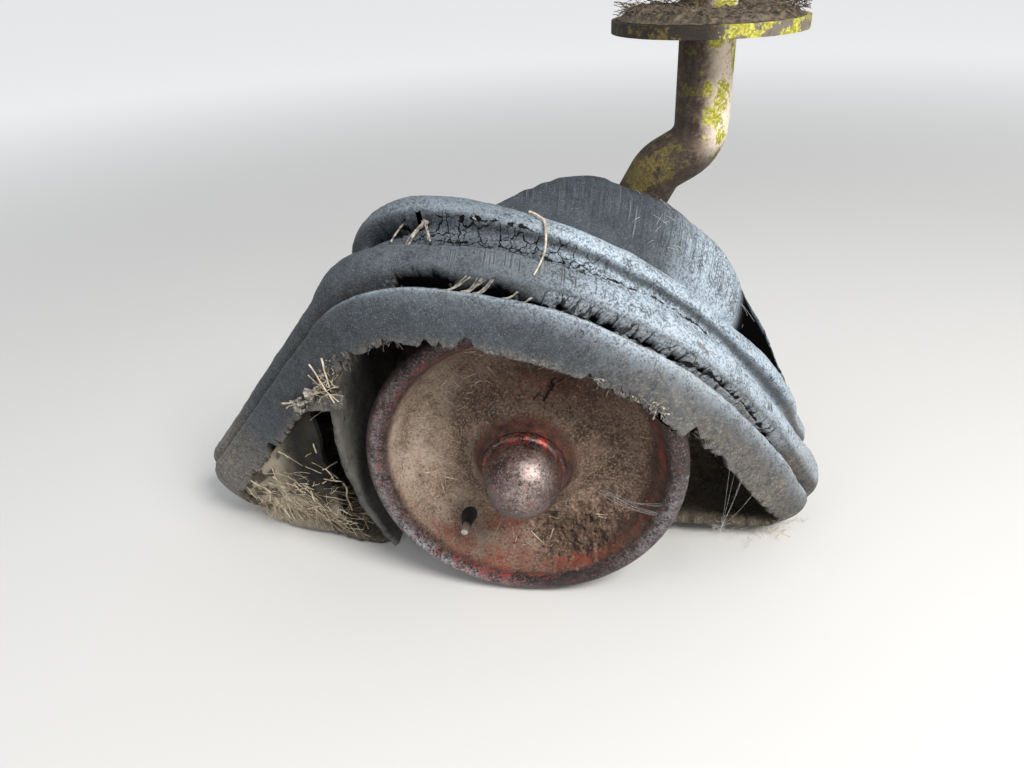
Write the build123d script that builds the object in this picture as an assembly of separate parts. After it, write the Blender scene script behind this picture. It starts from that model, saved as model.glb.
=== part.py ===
from build123d import *
import math
import os

os.makedirs("parts", exist_ok=True)

# Driving dimensions, mm. The wheel is laid out about its own front lip,
# then everything is moved so that the origin is the plate's top face on the kingpin.
RIM_R = 114.0
# the leg and the tyre keep clear of the rim: their places grow with it
GROWTH = RIM_R / 114.0
KINGPIN_X = 120.0 * GROWTH
LEG_Y = 150.0
PLATE_TOP_Z = 270.0 * GROWTH

# leg
TUBE_R = 19.0
TUBE_BORE_R = 16.0
ARM_R = 16.0
SPIGOT_R = 18.0
SPIGOT_LENGTH = 90.0
SPIGOT_HOLE_R = 5.5
SPIGOT_HOLE_Z = 55.0
BEND_TOP_Z = 187.0 * GROWTH
BEND_X = 91.0 * GROWTH
BEND_Z = 170.0 * GROWTH
BEND_R = 25.0
SLEEVE_END = 0.36
PLATE_R = 65.0
PLATE_T = 8.0
BOSS_R = 25.0
BOSS_Y0 = 128.0
BOSS_Y1 = 172.0

# axle and hub
AXLE_R = 12.5
AXLE_SHOULDER_R = 16.0
AXLE_FRONT_Y = -8.0
SHOULDER_Y0 = 76.0
BEARING_R = 23.5
BEARING_BORE_R = 12.55
BEARING_W = 12.0
BEARING_FRONT_Y = 7.0
BEARING_BACK_Y = 62.0
HUB_R = 28.0
HUB_Y0 = 4.0
HUB_Y1 = 78.0
COLLAR_R = 26.0
COLLAR_Y0 = 84.0
COLLAR_Y1 = 96.0
NUT_R = 17.0
NUT_T = 12.0
CAP_R = 27.0
CAP_FLANGE_R = 29.5
CAP_POCKET_R = 19.0
CAP_POCKET_Y = -24.0
CAP_DOME_Y = -9.0
DOME_DEG = (15, 30, 45, 60, 75, 90)

# rim, two pressed halves of sheet
DISC_Y = 38.0
REAR_LIP_Y = 64.0

# valve
VALVE_R = 80.0
VALVE_DEG = 233.0
VALVE_TIP_Y = 8.0

# loose casing: a D-shaped loop lying in a plane leaned toward the front
LEAN_DEG = 27.0
GROUND_U = -146.0 * GROWTH
SLOPE_DEG = 52.8
CORNER_R = 34.0 * GROWTH
LEFT_CORNER_R = 44.0 * GROWTH
TOP_X = -125.0 * GROWTH
TOP_U = 115.0 * GROWTH
# crown arcs: radius and turn, degrees
CROWN_ARCS = [(81.0 * GROWTH, SLOPE_DEG), (200.0 * GROWTH, 32.0), (330.0 * GROWTH, 24.0)]
FLANK_R = 1000.0 * GROWTH
FLARE = 0.38
FLARE_PIVOT = 34.0

# section of the casing: distance across the tread, height above the front rib
TREAD_OUTER = [
    (18, -26), (27, -11), (33, -3), (37, -1), (40, -8), (43, -2),
    (46, 7), (52, 10), (60, 10), (64, 6), (67, 0), (88, -2),
    (91, 4), (97, 6), (106, 4), (114, -3), (119, -12),
]
TREAD_INNER = [(112, -18), (96, -9), (64, -8), (44, -14), (34, -20), (24, -31)]
# far sidewall: heading of the loop, how far back it reaches there and how far it bellies out
SKIRT_ROOT_Q = 104.0
SKIRT_BEND_Q = 108.0
SKIRT_REACH = [
    (-12, 118, 0), (-18, 142, 4), (-25, 160, 8), (-32, 169, 14), (-42, 172, 22), (-52, 168, 22),
    (-56, 162, 20), (-60, 153, 15), (-64, 144, 9),
]
LEAN_STEPS = 7
WHEEL_GAP = 5.2
SEAT_GAP = 0.3
EDGE_Q = 18.0
# tears of the front edge: distance along the loop, half width, depth
TEARS = [
    (40, 16, 4), (96, 22, 6), (150, 12, 4), (205, 18, 5), (258, 12, 3), (300, 16, 3),
    (352, 12, 4), (398, 20, 3), (446, 12, 4), (492, 16, 3), (540, 12, 5), (586, 18, 5),
]
# holes worn through the grooves: distance along the loop, place across, length, width
HOLES = [(333, 40.5, 50, 7), (370, 40.5, 12, 6), (293, 85.5, 20, 7)]
# far sidewall's flat web and its bead hole, centred at (x, u) of the loop's plane
WEB_Q = 113.0
WEB_T = 4.5
WEB_EDGE_N = -9.0
BEAD_R = 101.5
BEAD_X = 0.0
BEAD_U = -45.0
# where the web is torn off, under the raised part of the far sidewall
WEB_GAP_X = -15.0
WEB_GAP_U = -20.0
# wall left of the near sidewall: its front edge, then how far out and back the rear edge lies
NEAR_WALL = [
    (-80, -32, 118, 4, 62), (-104, -22, 101, 8, 58), (-122, -8, 62, 9, 48),
    (-127, -2, 20, 10, 46), (-126, 8, -22, 10, 40), (-120, 20, -64, 10, 36),
    (-108, 32, -98, 9, 32),
]
WALL_T = 5.0
# near sidewall folded in at the lower left: its top along the slope's edge, its foot on the ground
FOLD = [
    (-250, 61, -70, -250, 94, -111), (-226, 48, -42, -222, 81, -111),
    (-202, 34, -13, -196, 71, -111), (-188, 26, 4, -168, 61, -111),
]
FOLD_T = 5.0
APRON = [
    (-262, 98), (-250, 88), (-221, 74), (-180, 58), (-139, 46), (-126, 62), (-130, 110),
    (-250, 112),
]
APRON_T = 6.0


def move_home(shape):
    return Pos(-KINGPIN_X, -LEG_Y, -PLATE_TOP_Z) * shape


def spin_profile(points):
    """Solid of revolution about the wheel axle from (radius, y) points."""
    face = Plane.XY * make_face(Polyline(*[(r, y) for r, y in points], close=True))
    return revolve(face, Axis.Y)


def ring_y(r_out, r_in, y0, y1):
    return spin_profile([(r_in, y0), (r_out, y0), (r_out, y1), (r_in, y1)])


def rod_y(r, y0, y1):
    return Pos(0, y0, 0) * Rot(-90, 0, 0) * Cylinder(
        r, y1 - y0, align=(Align.CENTER, Align.CENTER, Align.MIN)
    )


def leg_plane_point(x, z):
    return Vector(x, LEG_Y, z)


# leg
arm_dir = Vector(-BEND_X, 0, -BEND_Z).normalized()
arm_top = leg_plane_point(BEND_X, BEND_Z)
axle_point = leg_plane_point(0, 0)
arm_length = (arm_top - axle_point).length
sleeve_end = arm_top + arm_dir * (arm_length * SLEEVE_END * 0.5)

tube_path = FilletPolyline(
    leg_plane_point(KINGPIN_X, PLATE_TOP_Z),
    leg_plane_point(KINGPIN_X, BEND_TOP_Z),
    arm_top,
    sleeve_end,
    radius=BEND_R,
)
tube_start = Plane(origin=tube_path @ 0, z_dir=tube_path % 0)
leg_tube = sweep(tube_start * Circle(TUBE_R), path=tube_path)
socket_plane = Plane(origin=sleeve_end, z_dir=arm_dir * -1)
SOCKET_DEPTH = arm_length * SLEEVE_END * 0.5 - 9.0
leg_tube -= socket_plane * Cylinder(
    TUBE_BORE_R, SOCKET_DEPTH, align=(Align.CENTER, Align.CENTER, Align.MIN)
)
leg_tube += Pos(KINGPIN_X, LEG_Y, PLATE_TOP_Z) * Cylinder(
    SPIGOT_R, SPIGOT_LENGTH, align=(Align.CENTER, Align.CENTER, Align.MIN)
)
cross_hole = Pos(KINGPIN_X, LEG_Y, PLATE_TOP_Z + SPIGOT_HOLE_Z) * Rot(90, 0, 0) * Cylinder(
    SPIGOT_HOLE_R, 4 * TUBE_R
)
leg_tube -= cross_hole

leg_plate = Pos(KINGPIN_X, LEG_Y, PLATE_TOP_Z - PLATE_T / 2) * Cylinder(PLATE_R, PLATE_T)
leg_plate -= Pos(KINGPIN_X, LEG_Y, PLATE_TOP_Z - PLATE_T / 2) * Cylinder(TUBE_R, 3 * PLATE_T)

arm_length_out = arm_length - arm_length * SLEEVE_END * 0.5 + SOCKET_DEPTH
arm_start = Plane(origin=axle_point, z_dir=arm_dir * -1)
leg_arm = arm_start * Cylinder(
    ARM_R, arm_length_out, align=(Align.CENTER, Align.CENTER, Align.MIN)
)
leg_arm -= rod_y(BOSS_R, BOSS_Y0 - 5, BOSS_Y1 + 5)

axle_boss = ring_y(BOSS_R, AXLE_R, BOSS_Y0, BOSS_Y1)

stub_axle = rod_y(AXLE_R, AXLE_FRONT_Y, BOSS_Y1)
stub_axle += rod_y(AXLE_SHOULDER_R, SHOULDER_Y0, BOSS_Y0)
dust_collar = ring_y(COLLAR_R, AXLE_SHOULDER_R, COLLAR_Y0, COLLAR_Y1)

nut_blank = extrude(Plane.XZ * RegularPolygon(NUT_R, 6), NUT_T)
axle_nut = Pos(0, AXLE_FRONT_Y + NUT_T, 0) * nut_blank
axle_nut -= rod_y(AXLE_R, AXLE_FRONT_Y - 30, AXLE_FRONT_Y + 60)

# wheel
front_skin = [
    (HUB_R, 5), (31, 5), (37, 15), (45, 23.5), (55, 29.5), (66, 32), (76, 30.5), (84, 26),
    (RIM_R - 23, 19), (RIM_R - 18, 9),
]
front_lip = [
    (RIM_R - 14.5, 3), (RIM_R - 9, -0.5), (RIM_R - 3, 1.2), (RIM_R, 7), (RIM_R - 3, 13),
    (RIM_R - 7, 14.5),
]
front_back = [
    (RIM_R - 13.5, 13), (RIM_R - 15, 20), (RIM_R - 20.5, 26.5), (77, 35.5), (72, DISC_Y),
    (61, DISC_Y), (46, 31.5), (36, 21.5), (HUB_R, 13),
]
rim_front = spin_profile(front_skin + front_lip + front_back)

back_skin = [
    (HUB_R, DISC_Y), (74, DISC_Y), (RIM_R - 24, 43), (RIM_R - 15, 48.5),
    (RIM_R - 13.5, 52), (RIM_R - 7, 50),
]
back_lip = [
    (RIM_R - 3, 51.5), (RIM_R, 57.5), (RIM_R - 3, 63), (RIM_R - 9, REAR_LIP_Y),
    (RIM_R - 14.5, 61.5),
]
back_back = [(RIM_R - 18, 53), (RIM_R - 27, 46), (74, 41), (HUB_R, 41)]
rim_back = spin_profile(back_skin + back_lip + back_back)

hub_tube = ring_y(HUB_R, BEARING_R, HUB_Y0, HUB_Y1)
bearing_front = ring_y(BEARING_R, BEARING_BORE_R, BEARING_FRONT_Y, BEARING_FRONT_Y + BEARING_W)
bearing_back = ring_y(BEARING_R, BEARING_BORE_R, BEARING_BACK_Y, BEARING_BACK_Y + BEARING_W)

cap_profile = [(0, CAP_DOME_Y - CAP_R)]
for angle in DOME_DEG:
    a = math.radians(angle)
    cap_profile.append((CAP_R * math.sin(a), CAP_DOME_Y - CAP_R * math.cos(a)))
cap_profile += [(CAP_R, 0), (CAP_FLANGE_R, 0), (CAP_FLANGE_R, HUB_Y0)]
cap_profile += [(CAP_POCKET_R, HUB_Y0), (CAP_POCKET_R, CAP_POCKET_Y), (0, CAP_POCKET_Y)]
hub_cap = spin_profile(cap_profile)

valve_x = VALVE_R * math.cos(math.radians(VALVE_DEG))
valve_z = VALVE_R * math.sin(math.radians(VALVE_DEG))
valve_profile = [(0, 17), (3.6, 17), (5.8, 27), (7.5, 31), (7.5, 34), (0, 34)]
valve_stem = Pos(valve_x, 0, valve_z) * spin_profile(valve_profile)
valve_stem -= rim_front
valve_stem = valve_stem.solids().sort_by(Axis.Y)[0]
valve_tip = Pos(valve_x, 0, valve_z) * rod_y(2.6, VALVE_TIP_Y, 17)

# loose casing
lean = math.radians(LEAN_DEG)
casing_plane = Plane(
    origin=(0, 0, 0), x_dir=(1, 0, 0), z_dir=(0, -math.cos(lean), -math.sin(lean))
)


def outward(heading_deg):
    h = math.radians(heading_deg)
    return Vector(-math.sin(h), math.cos(h), 0)


def along(heading_deg):
    h = math.radians(heading_deg)
    return Vector(math.cos(h), math.sin(h), 0)


def section_face(point, heading_deg, outline):
    """Tread section standing on the loop; a point's z is minus its distance across."""
    side = outward(heading_deg)
    corners = [point + side * n + Vector(0, 0, -q) for q, n in outline]
    return Face(Wire.make_polygon(corners, close=True))


def bend_section(point, heading_deg, outline, radius, turn_deg):
    centre = point - outward(heading_deg) * radius
    face = section_face(point, heading_deg, outline)
    axis = Axis((centre.X, centre.Y, 0), (0, 0, 1))
    return revolve(face, axis, -turn_deg)


def straight_section(point, heading_deg, outline, length):
    face = section_face(point, heading_deg, outline)
    return extrude(face, amount=length, dir=along(heading_deg))


# stations of the loop, walked clockwise from the foot of the left slope
corner_floor = GROUND_U + CORNER_R
left_centre_u = GROUND_U + LEFT_CORNER_R
foot_u = left_centre_u + LEFT_CORNER_R * math.cos(math.radians(SLOPE_DEG))
slope_length = (TOP_U - foot_u) / math.sin(math.radians(SLOPE_DEG))
slope_foot = Vector(TOP_X, TOP_U, 0) - along(SLOPE_DEG) * slope_length
stations = [("line", slope_foot, SLOPE_DEG, slope_length, 0.0)]
point = Vector(TOP_X, TOP_U, 0)
heading = SLOPE_DEG
for radius, turn in CROWN_ARCS:
    stations.append(("arc", point, heading, radius, turn))
    centre = point - outward(heading) * radius
    heading -= turn
    point = centre + outward(heading) * radius
# the last crown arc turns until the right corner lands level with the left one
centre = point - outward(heading) * FLANK_R
flank_end = -math.degrees(math.acos((corner_floor - centre.Y) / (FLANK_R - CORNER_R)))
flank_turn = heading - flank_end
stations.append(("arc", point, heading, FLANK_R, flank_turn))
point = centre + outward(flank_end) * FLANK_R
stations.append(("arc", point, flank_end, CORNER_R, 180.0 + flank_end))
right_floor = point - outward(flank_end) * CORNER_R + outward(-180.0) * CORNER_R
left_floor = slope_foot + (outward(-180.0) - outward(SLOPE_DEG)) * LEFT_CORNER_R
floor_run = (left_floor - right_floor).length
stations.append(("line", right_floor, -180.0, floor_run, 0.0))
stations.append(("arc", left_floor, -180.0, LEFT_CORNER_R, 180.0 - SLOPE_DEG))


def flared(outline, amount):
    """Section leaned so that its far side draws in."""
    return [(q, n - amount * max(0.0, q - FLARE_PIVOT)) for q, n in outline]


def loft_along(start, heading_deg, radius, turns, outlines):
    """Ruled loft through sections placed round an arc."""
    middle = start - outward(heading_deg) * radius
    faces = []
    for turned, outline in zip(turns, outlines):
        here = heading_deg - turned
        faces.append(section_face(middle + outward(here) * radius, here, outline))
    return loft(faces, ruled=True)


tread_outline = TREAD_OUTER + TREAD_INNER
leaned = flared(tread_outline, FLARE)
casing = None
for index, (kind, start, head, size, turn) in enumerate(stations):
    if index == 0:
        piece = straight_section(start, head, leaned, size)
    elif index in (1, len(stations) - 1):
        # the lean grows into the left slope and dies out of it at both ends
        steps = [k / LEAN_STEPS for k in range(LEAN_STEPS + 1)]
        mix = [1 - t if index == 1 else t for t in steps]
        mix = [t * t for t in mix]
        outlines = [flared(tread_outline, FLARE * t) for t in mix]
        piece = loft_along(start, head, size, [turn * t for t in steps], outlines)
    elif kind == "arc":
        piece = bend_section(start, head, tread_outline, size, turn)
    else:
        piece = straight_section(start, head, tread_outline, size)
    casing = piece if casing is None else casing + piece


def loop_at_heading(wanted):
    """Point of the crown where the loop runs at the given heading."""
    for kind, start, head, size, turn in stations[1:6]:
        if head >= wanted >= head - turn:
            return start + (outward(wanted) - outward(head)) * size
    raise ValueError(wanted)


# far sidewall, left standing over the top and down the right flank
skirt_faces = []
for wanted, reach, belly in SKIRT_REACH:
    bend = SKIRT_BEND_Q
    back = reach - bend
    outline = [
        (SKIRT_ROOT_Q, -6.5), (bend + 0.45 * back, -7 + 0.6 * belly),
        (bend + 0.8 * back, -9 + belly), (reach, -17 + belly), (reach + 3, -42),
        (reach - 3, -44), (reach - 6, -20 + belly), (bend + 0.75 * back, -15 + belly),
        (bend + 0.4 * back, -12.5 + 0.6 * belly), (SKIRT_ROOT_Q, -12),
    ]
    skirt_faces.append(section_face(loop_at_heading(wanted), wanted, outline))
casing += loft(skirt_faces, ruled=True)


def station_at(distance):
    """Point and heading on the loop after walking the given distance."""
    for kind, start, head, size, turn in stations:
        length = size if kind == "line" else size * math.radians(turn)
        if distance <= length:
            break
        distance -= length
    if kind == "line":
        return start + along(head) * distance, head
    swept = math.degrees(distance / size)
    middle = start - outward(head) * size
    return middle + outward(head - swept) * size, head - swept


# torn front edge: V cuts at (distance along the loop, half width, depth)
for distance, half_width, depth in TEARS:
    point, head = station_at(distance)
    step = along(head)
    low = point + outward(head) * -60
    corners = [
        low - step * half_width + Vector(0, 0, -EDGE_Q + 3),
        low + step * half_width + Vector(0, 0, -EDGE_Q + 3),
        low + Vector(0, 0, -EDGE_Q - depth),
    ]
    cut_face = Face(Wire.make_polygon(corners, close=True))
    casing -= extrude(cut_face, amount=70, dir=outward(head))

# worn-through holes in the grooves: (distance, across, length, width)
for distance, across, length, width in HOLES:
    point, head = station_at(distance)
    hole_plane = Plane(
        origin=point + Vector(0, 0, -across), x_dir=along(head), z_dir=outward(head)
    )
    casing -= hole_plane * Box(length, width, 60)

# web of the far sidewall, following the loop and the lean of its left slope
web_corners = []
for index, (kind, start, head, size, turn) in enumerate(stations):
    count = max(2, round(turn / 8)) if kind == "arc" else 1
    for k in range(count):
        t = k / count
        here = head - turn * t
        place = start if kind == "line" else start + (outward(here) - outward(head)) * size
        share = 1.0 if index == 0 else (1 - t) ** 2 if index == 1 else 0.0
        share = t * t if index == len(stations) - 1 else share
        drawn_in = WEB_EDGE_N - FLARE * share * (WEB_Q - FLARE_PIVOT)
        web_corners.append(place + outward(here) * drawn_in)
web_face = Face(Wire.make_polygon([c + Vector(0, 0, -WEB_Q) for c in web_corners], close=True))
web = extrude(web_face, amount=WEB_T, dir=(0, 0, -1))
web -= Pos(BEAD_X, BEAD_U, -WEB_Q) * Cylinder(BEAD_R * GROWTH, 6 * WEB_T)
web -= Pos(WEB_GAP_X, WEB_GAP_U, -WEB_Q) * Box(
    600, 400, 6 * WEB_T, align=(Align.MIN, Align.MIN, Align.CENTER)
)
casing += web

casing = casing_plane * casing

# wall of the near sidewall still standing beside the rim
wall_faces = []
for x, y, z, spread, depth in NEAR_WALL:
    away = Vector(x, 0, z).normalized()
    front = Vector(x * GROWTH, y, z * GROWTH)
    rear = front + away * spread + Vector(0, depth, 0)
    corners = [front, front + away * WALL_T, rear + away * WALL_T, rear]
    wall_faces.append(Face(Wire.make_polygon(corners, close=True)))
casing += loft(wall_faces, ruled=True)

# flattened foot of the near sidewall, lying on the ground left of the rim
apron_face = make_face(Polyline(*APRON, close=True))
casing += Pos(0, 0, -RIM_R) * extrude(apron_face, APRON_T)

# near sidewall folded in at the lower left
fold_faces = []
for top_x, top_y, top_z, foot_x, foot_y, foot_z in FOLD:
    top = Vector(top_x, top_y, top_z) * GROWTH
    foot = Vector(foot_x, foot_y, foot_z) * GROWTH
    step = Vector(0, FOLD_T, 0)
    fold_faces.append(Face(Wire.make_polygon([top, top + step, foot + step, foot], close=True)))
casing += loft(fold_faces, ruled=True)

# room for the turning wheel, and the seat where the far sidewall hangs on the arm
casing -= rod_y(RIM_R + WHEEL_GAP, -WHEEL_GAP - 0.5, REAR_LIP_Y + WHEEL_GAP)
casing -= arm_start * Cylinder(
    ARM_R + SEAT_GAP, arm_length, align=(Align.CENTER, Align.CENTER, Align.MIN)
)

nodes = {
    "leg_tube": leg_tube,
    "leg_plate": leg_plate,
    "leg_arm": leg_arm,
    "axle_boss": axle_boss,
    "stub_axle": stub_axle,
    "dust_collar": dust_collar,
    "axle_nut": axle_nut,
    "tyre_casing": casing,
    "rim_front": rim_front,
    "rim_back": rim_back,
    "hub_tube": hub_tube,
    "bearing_front": bearing_front,
    "bearing_back": bearing_back,
    "hub_cap": hub_cap,
    "valve_stem": valve_stem,
    "valve_tip": valve_tip,
}
for name, shape in nodes.items():
    solids = shape.solids()
    print(name, len(solids), round(shape.volume), [round(v, 1) for v in shape.bounding_box().size])
    node = Compound(children=[move_home(s) for s in solids]) if len(solids) > 1 else move_home(solids[0])
    export_step(node, "parts/" + name + ".step")
print("casing to tube", round(casing.distance_to(leg_tube), 3))
print("casing to arm", round(casing.distance_to(leg_arm), 3))
print("casing to rim", round(casing.distance_to(rim_front), 3), round(casing.distance_to(rim_back), 3))
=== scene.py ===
import math

import bpy
import numpy as np
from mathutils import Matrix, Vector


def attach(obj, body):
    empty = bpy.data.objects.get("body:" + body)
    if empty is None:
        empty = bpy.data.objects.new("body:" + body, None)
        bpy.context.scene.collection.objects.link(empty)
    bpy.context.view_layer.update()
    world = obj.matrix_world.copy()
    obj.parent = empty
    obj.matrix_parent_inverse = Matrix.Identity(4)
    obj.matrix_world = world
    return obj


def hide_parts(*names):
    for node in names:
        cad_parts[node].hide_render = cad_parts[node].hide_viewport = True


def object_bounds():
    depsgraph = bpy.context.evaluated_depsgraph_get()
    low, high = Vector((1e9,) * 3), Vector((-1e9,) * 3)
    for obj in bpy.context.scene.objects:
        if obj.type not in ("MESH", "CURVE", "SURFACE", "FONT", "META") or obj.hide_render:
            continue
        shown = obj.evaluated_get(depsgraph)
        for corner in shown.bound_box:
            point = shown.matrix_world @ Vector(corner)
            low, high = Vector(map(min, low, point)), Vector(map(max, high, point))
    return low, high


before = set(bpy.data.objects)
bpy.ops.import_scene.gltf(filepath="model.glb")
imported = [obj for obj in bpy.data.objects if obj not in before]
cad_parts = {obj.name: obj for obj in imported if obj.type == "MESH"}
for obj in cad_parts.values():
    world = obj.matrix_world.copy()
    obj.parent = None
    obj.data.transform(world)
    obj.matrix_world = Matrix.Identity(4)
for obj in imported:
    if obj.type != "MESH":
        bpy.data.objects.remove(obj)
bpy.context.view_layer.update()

# Lengths are in mm about the rim's front lip, as in the part's source: X right, Y away, Z up.
HOME = np.array([120.0, 150.0, 270.0])  # the frame's origin, seen from there
MM = 0.001
LOWEST, FOLD_LOWEST, ROLL_LOWEST, STRAND_LOWEST = -115.2, -113.4, -113.5, -114.8
NO_PATH = 99.0  # a path value too far away for any crack


def rgb(colour):
    """Screen colour 0-255 to linear RGBA."""
    c = np.array(colour) / 255.0
    linear = np.where(c <= 0.04045, c / 12.92, ((c + 0.055) / 1.055) ** 2.4)
    return (*linear.tolist(), 1.0)


def smooth(t):
    t = np.clip(t, 0.0, 1.0)
    return t * t * (3 - 2 * t)


def rise(x, start, width):
    """0 to 1 over a width that begins at a start."""
    return smooth((x - start) / width)


def fall(x, end, width):
    """1 to 0 over the width before an end."""
    return smooth((end - x) / width)


def between(x, start, width, end, last_width):
    return rise(x, start, width) * fall(x, end, last_width)


def bell(x, centre, width):
    return np.exp(-(((x - centre) / width) ** 2))


def wander(seed, step, t):
    """Smooth seeded noise along one number, in about -1 to 1."""
    values = np.random.RandomState(seed).uniform(-1, 1, 4096)
    x = np.asarray(t, float) / step + 1000
    i = np.floor(x).astype(int)
    f = smooth(x - i)
    return values[i % 4096] * (1 - f) + values[(i + 1) % 4096] * f


def grain(seed, step, a, b):
    """Smooth seeded noise over two numbers, in about -1 to 1."""
    v = np.random.RandomState(seed).uniform(-1, 1, (256, 256))
    x, y = np.asarray(a, float) / step + 64, np.asarray(b, float) / step + 64
    i, j = np.floor(x).astype(int), np.floor(y).astype(int)
    f, g = smooth(x - i), smooth(y - j)
    low = v[i % 256, j % 256] * (1 - f) + v[(i + 1) % 256, j % 256] * f
    high = v[i % 256, (j + 1) % 256] * (1 - f) + v[(i + 1) % 256, (j + 1) % 256] * f
    return low * (1 - g) + high * g


# materials
class Value:
    """What a node puts out. Operators on it add Math nodes."""

    def __init__(self, finish, socket):
        self.finish, self.socket = finish, socket

    def __add__(self, other):
        return self.finish.math("ADD", self, other)

    def __sub__(self, other):
        return self.finish.math("SUBTRACT", self, other)

    def __rsub__(self, other):
        return self.finish.math("SUBTRACT", other, self)

    def __mul__(self, other):
        return self.finish.math("MULTIPLY", self, other)

    def most(self, other):
        return self.finish.math("MAXIMUM", self, other)

    def band(self, low, high, to_low=0.0, to_high=1.0):
        """Eased from one value to another while this goes from low to high."""
        return self.finish.node("MapRange", "Result", {
            "Value": self, "From Min": low, "From Max": high, "To Min": to_low, "To Max": to_high,
        }, interpolation_type="SMOOTHSTEP")


class Finish:
    """A Principled material with short calls for the nodes that feed it."""

    def __init__(self, name, roughness=0.8, metallic=0.0, specular=0.5):
        self.mat = bpy.data.materials.new(name)
        self.mat.use_nodes = True
        self.tree = self.mat.node_tree
        self.shader = self.tree.nodes["Principled BSDF"]
        self.set("Roughness", roughness)
        self.set("Metallic", metallic)
        self.set("Specular IOR Level", specular)
        self.place = self.node("TexCoord", "Object")
        self.uv = Value(self, self.place.socket.node.outputs["UV"])

    def feed(self, socket, value):
        """Set a socket's constant, or link a value to it."""
        if isinstance(value, Value):
            self.tree.links.new(value.socket, socket)
        else:
            socket.default_value = value

    def set(self, name, value):
        self.feed(self.shader.inputs[name], value)

    def node(self, kind, output, inputs=None, **settings):
        """Add a node, set or link its inputs by name or number, and give one output."""
        made = self.tree.nodes.new("ShaderNode" + kind)
        for key, value in settings.items():
            setattr(made, key, value)
        for key, value in (inputs or {}).items():
            self.feed(made.inputs[key], value)
        return Value(self, made.outputs[output])

    def math(self, operation, a, b=0.0):
        return self.node("Math", "Value", {0: a, 1: b}, operation=operation)

    def stretched(self, x, y):
        return self.node("Mapping", "Vector", {"Vector": self.uv, "Scale": (x, y, 1.0)})

    def noise(self, scale, detail=5.0, rough=0.6, warp=0.0, vector=None):
        return self.node("TexNoise", "Fac", {
            "Vector": vector or self.place, "Scale": scale, "Detail": detail,
            "Roughness": rough, "Distortion": warp,
        })

    def uv_noise(self, x, y, detail=3.0, rough=0.6):
        return self.noise(1.0, detail, rough, vector=self.stretched(x, y))

    def cells(self, scale, vector=None):
        """Distance to the edges of Voronoi cells."""
        return self.node("TexVoronoi", "Distance", {
            "Vector": vector or self.place, "Scale": scale,
        }, feature="DISTANCE_TO_EDGE")

    def mix(self, fac, a, b):
        a, b = (rgb(c) if isinstance(c, tuple) else c for c in (a, b))
        return self.node("Mix", 2, {0: fac, 6: a, 7: b}, data_type="RGBA")

    def coats(self, base, *coats):
        """Lay colours over a base in turn, each by an amount scaled to a share."""
        for amount, share, colour in coats:
            base = self.mix(amount * share, base, colour)
        return base

    def parts(self, kind, vector, **settings):
        """The outputs of a node that splits a vector or colour."""
        split = self.node(kind, 0, {0: vector}, **settings)
        return [Value(self, out) for out in split.socket.node.outputs]

    def mask(self, name):
        """The four numbers of a colour attribute."""
        colour = self.node("Attribute", "Color", attribute_name=name)
        alpha = Value(self, colour.socket.node.outputs["Alpha"])
        return self.parts("SeparateColor", colour) + [alpha]

    def line(self, path, stray, width):
        """A ragged line where a path value in mm is near zero."""
        off = self.math("ABSOLUTE", path + stray) - width
        return off.band(0.0, 0.45, 1.0, 0.0)

    def bumps(self, *layers):
        """Stack bumps, each of height, distance in m and strength."""
        under = None
        for height, distance, strength in layers:
            inputs = {"Height": height, "Distance": distance, "Strength": strength}
            if under:
                inputs["Normal"] = under
            under = self.node("Bump", "Normal", inputs)
        self.set("Normal", under)


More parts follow.
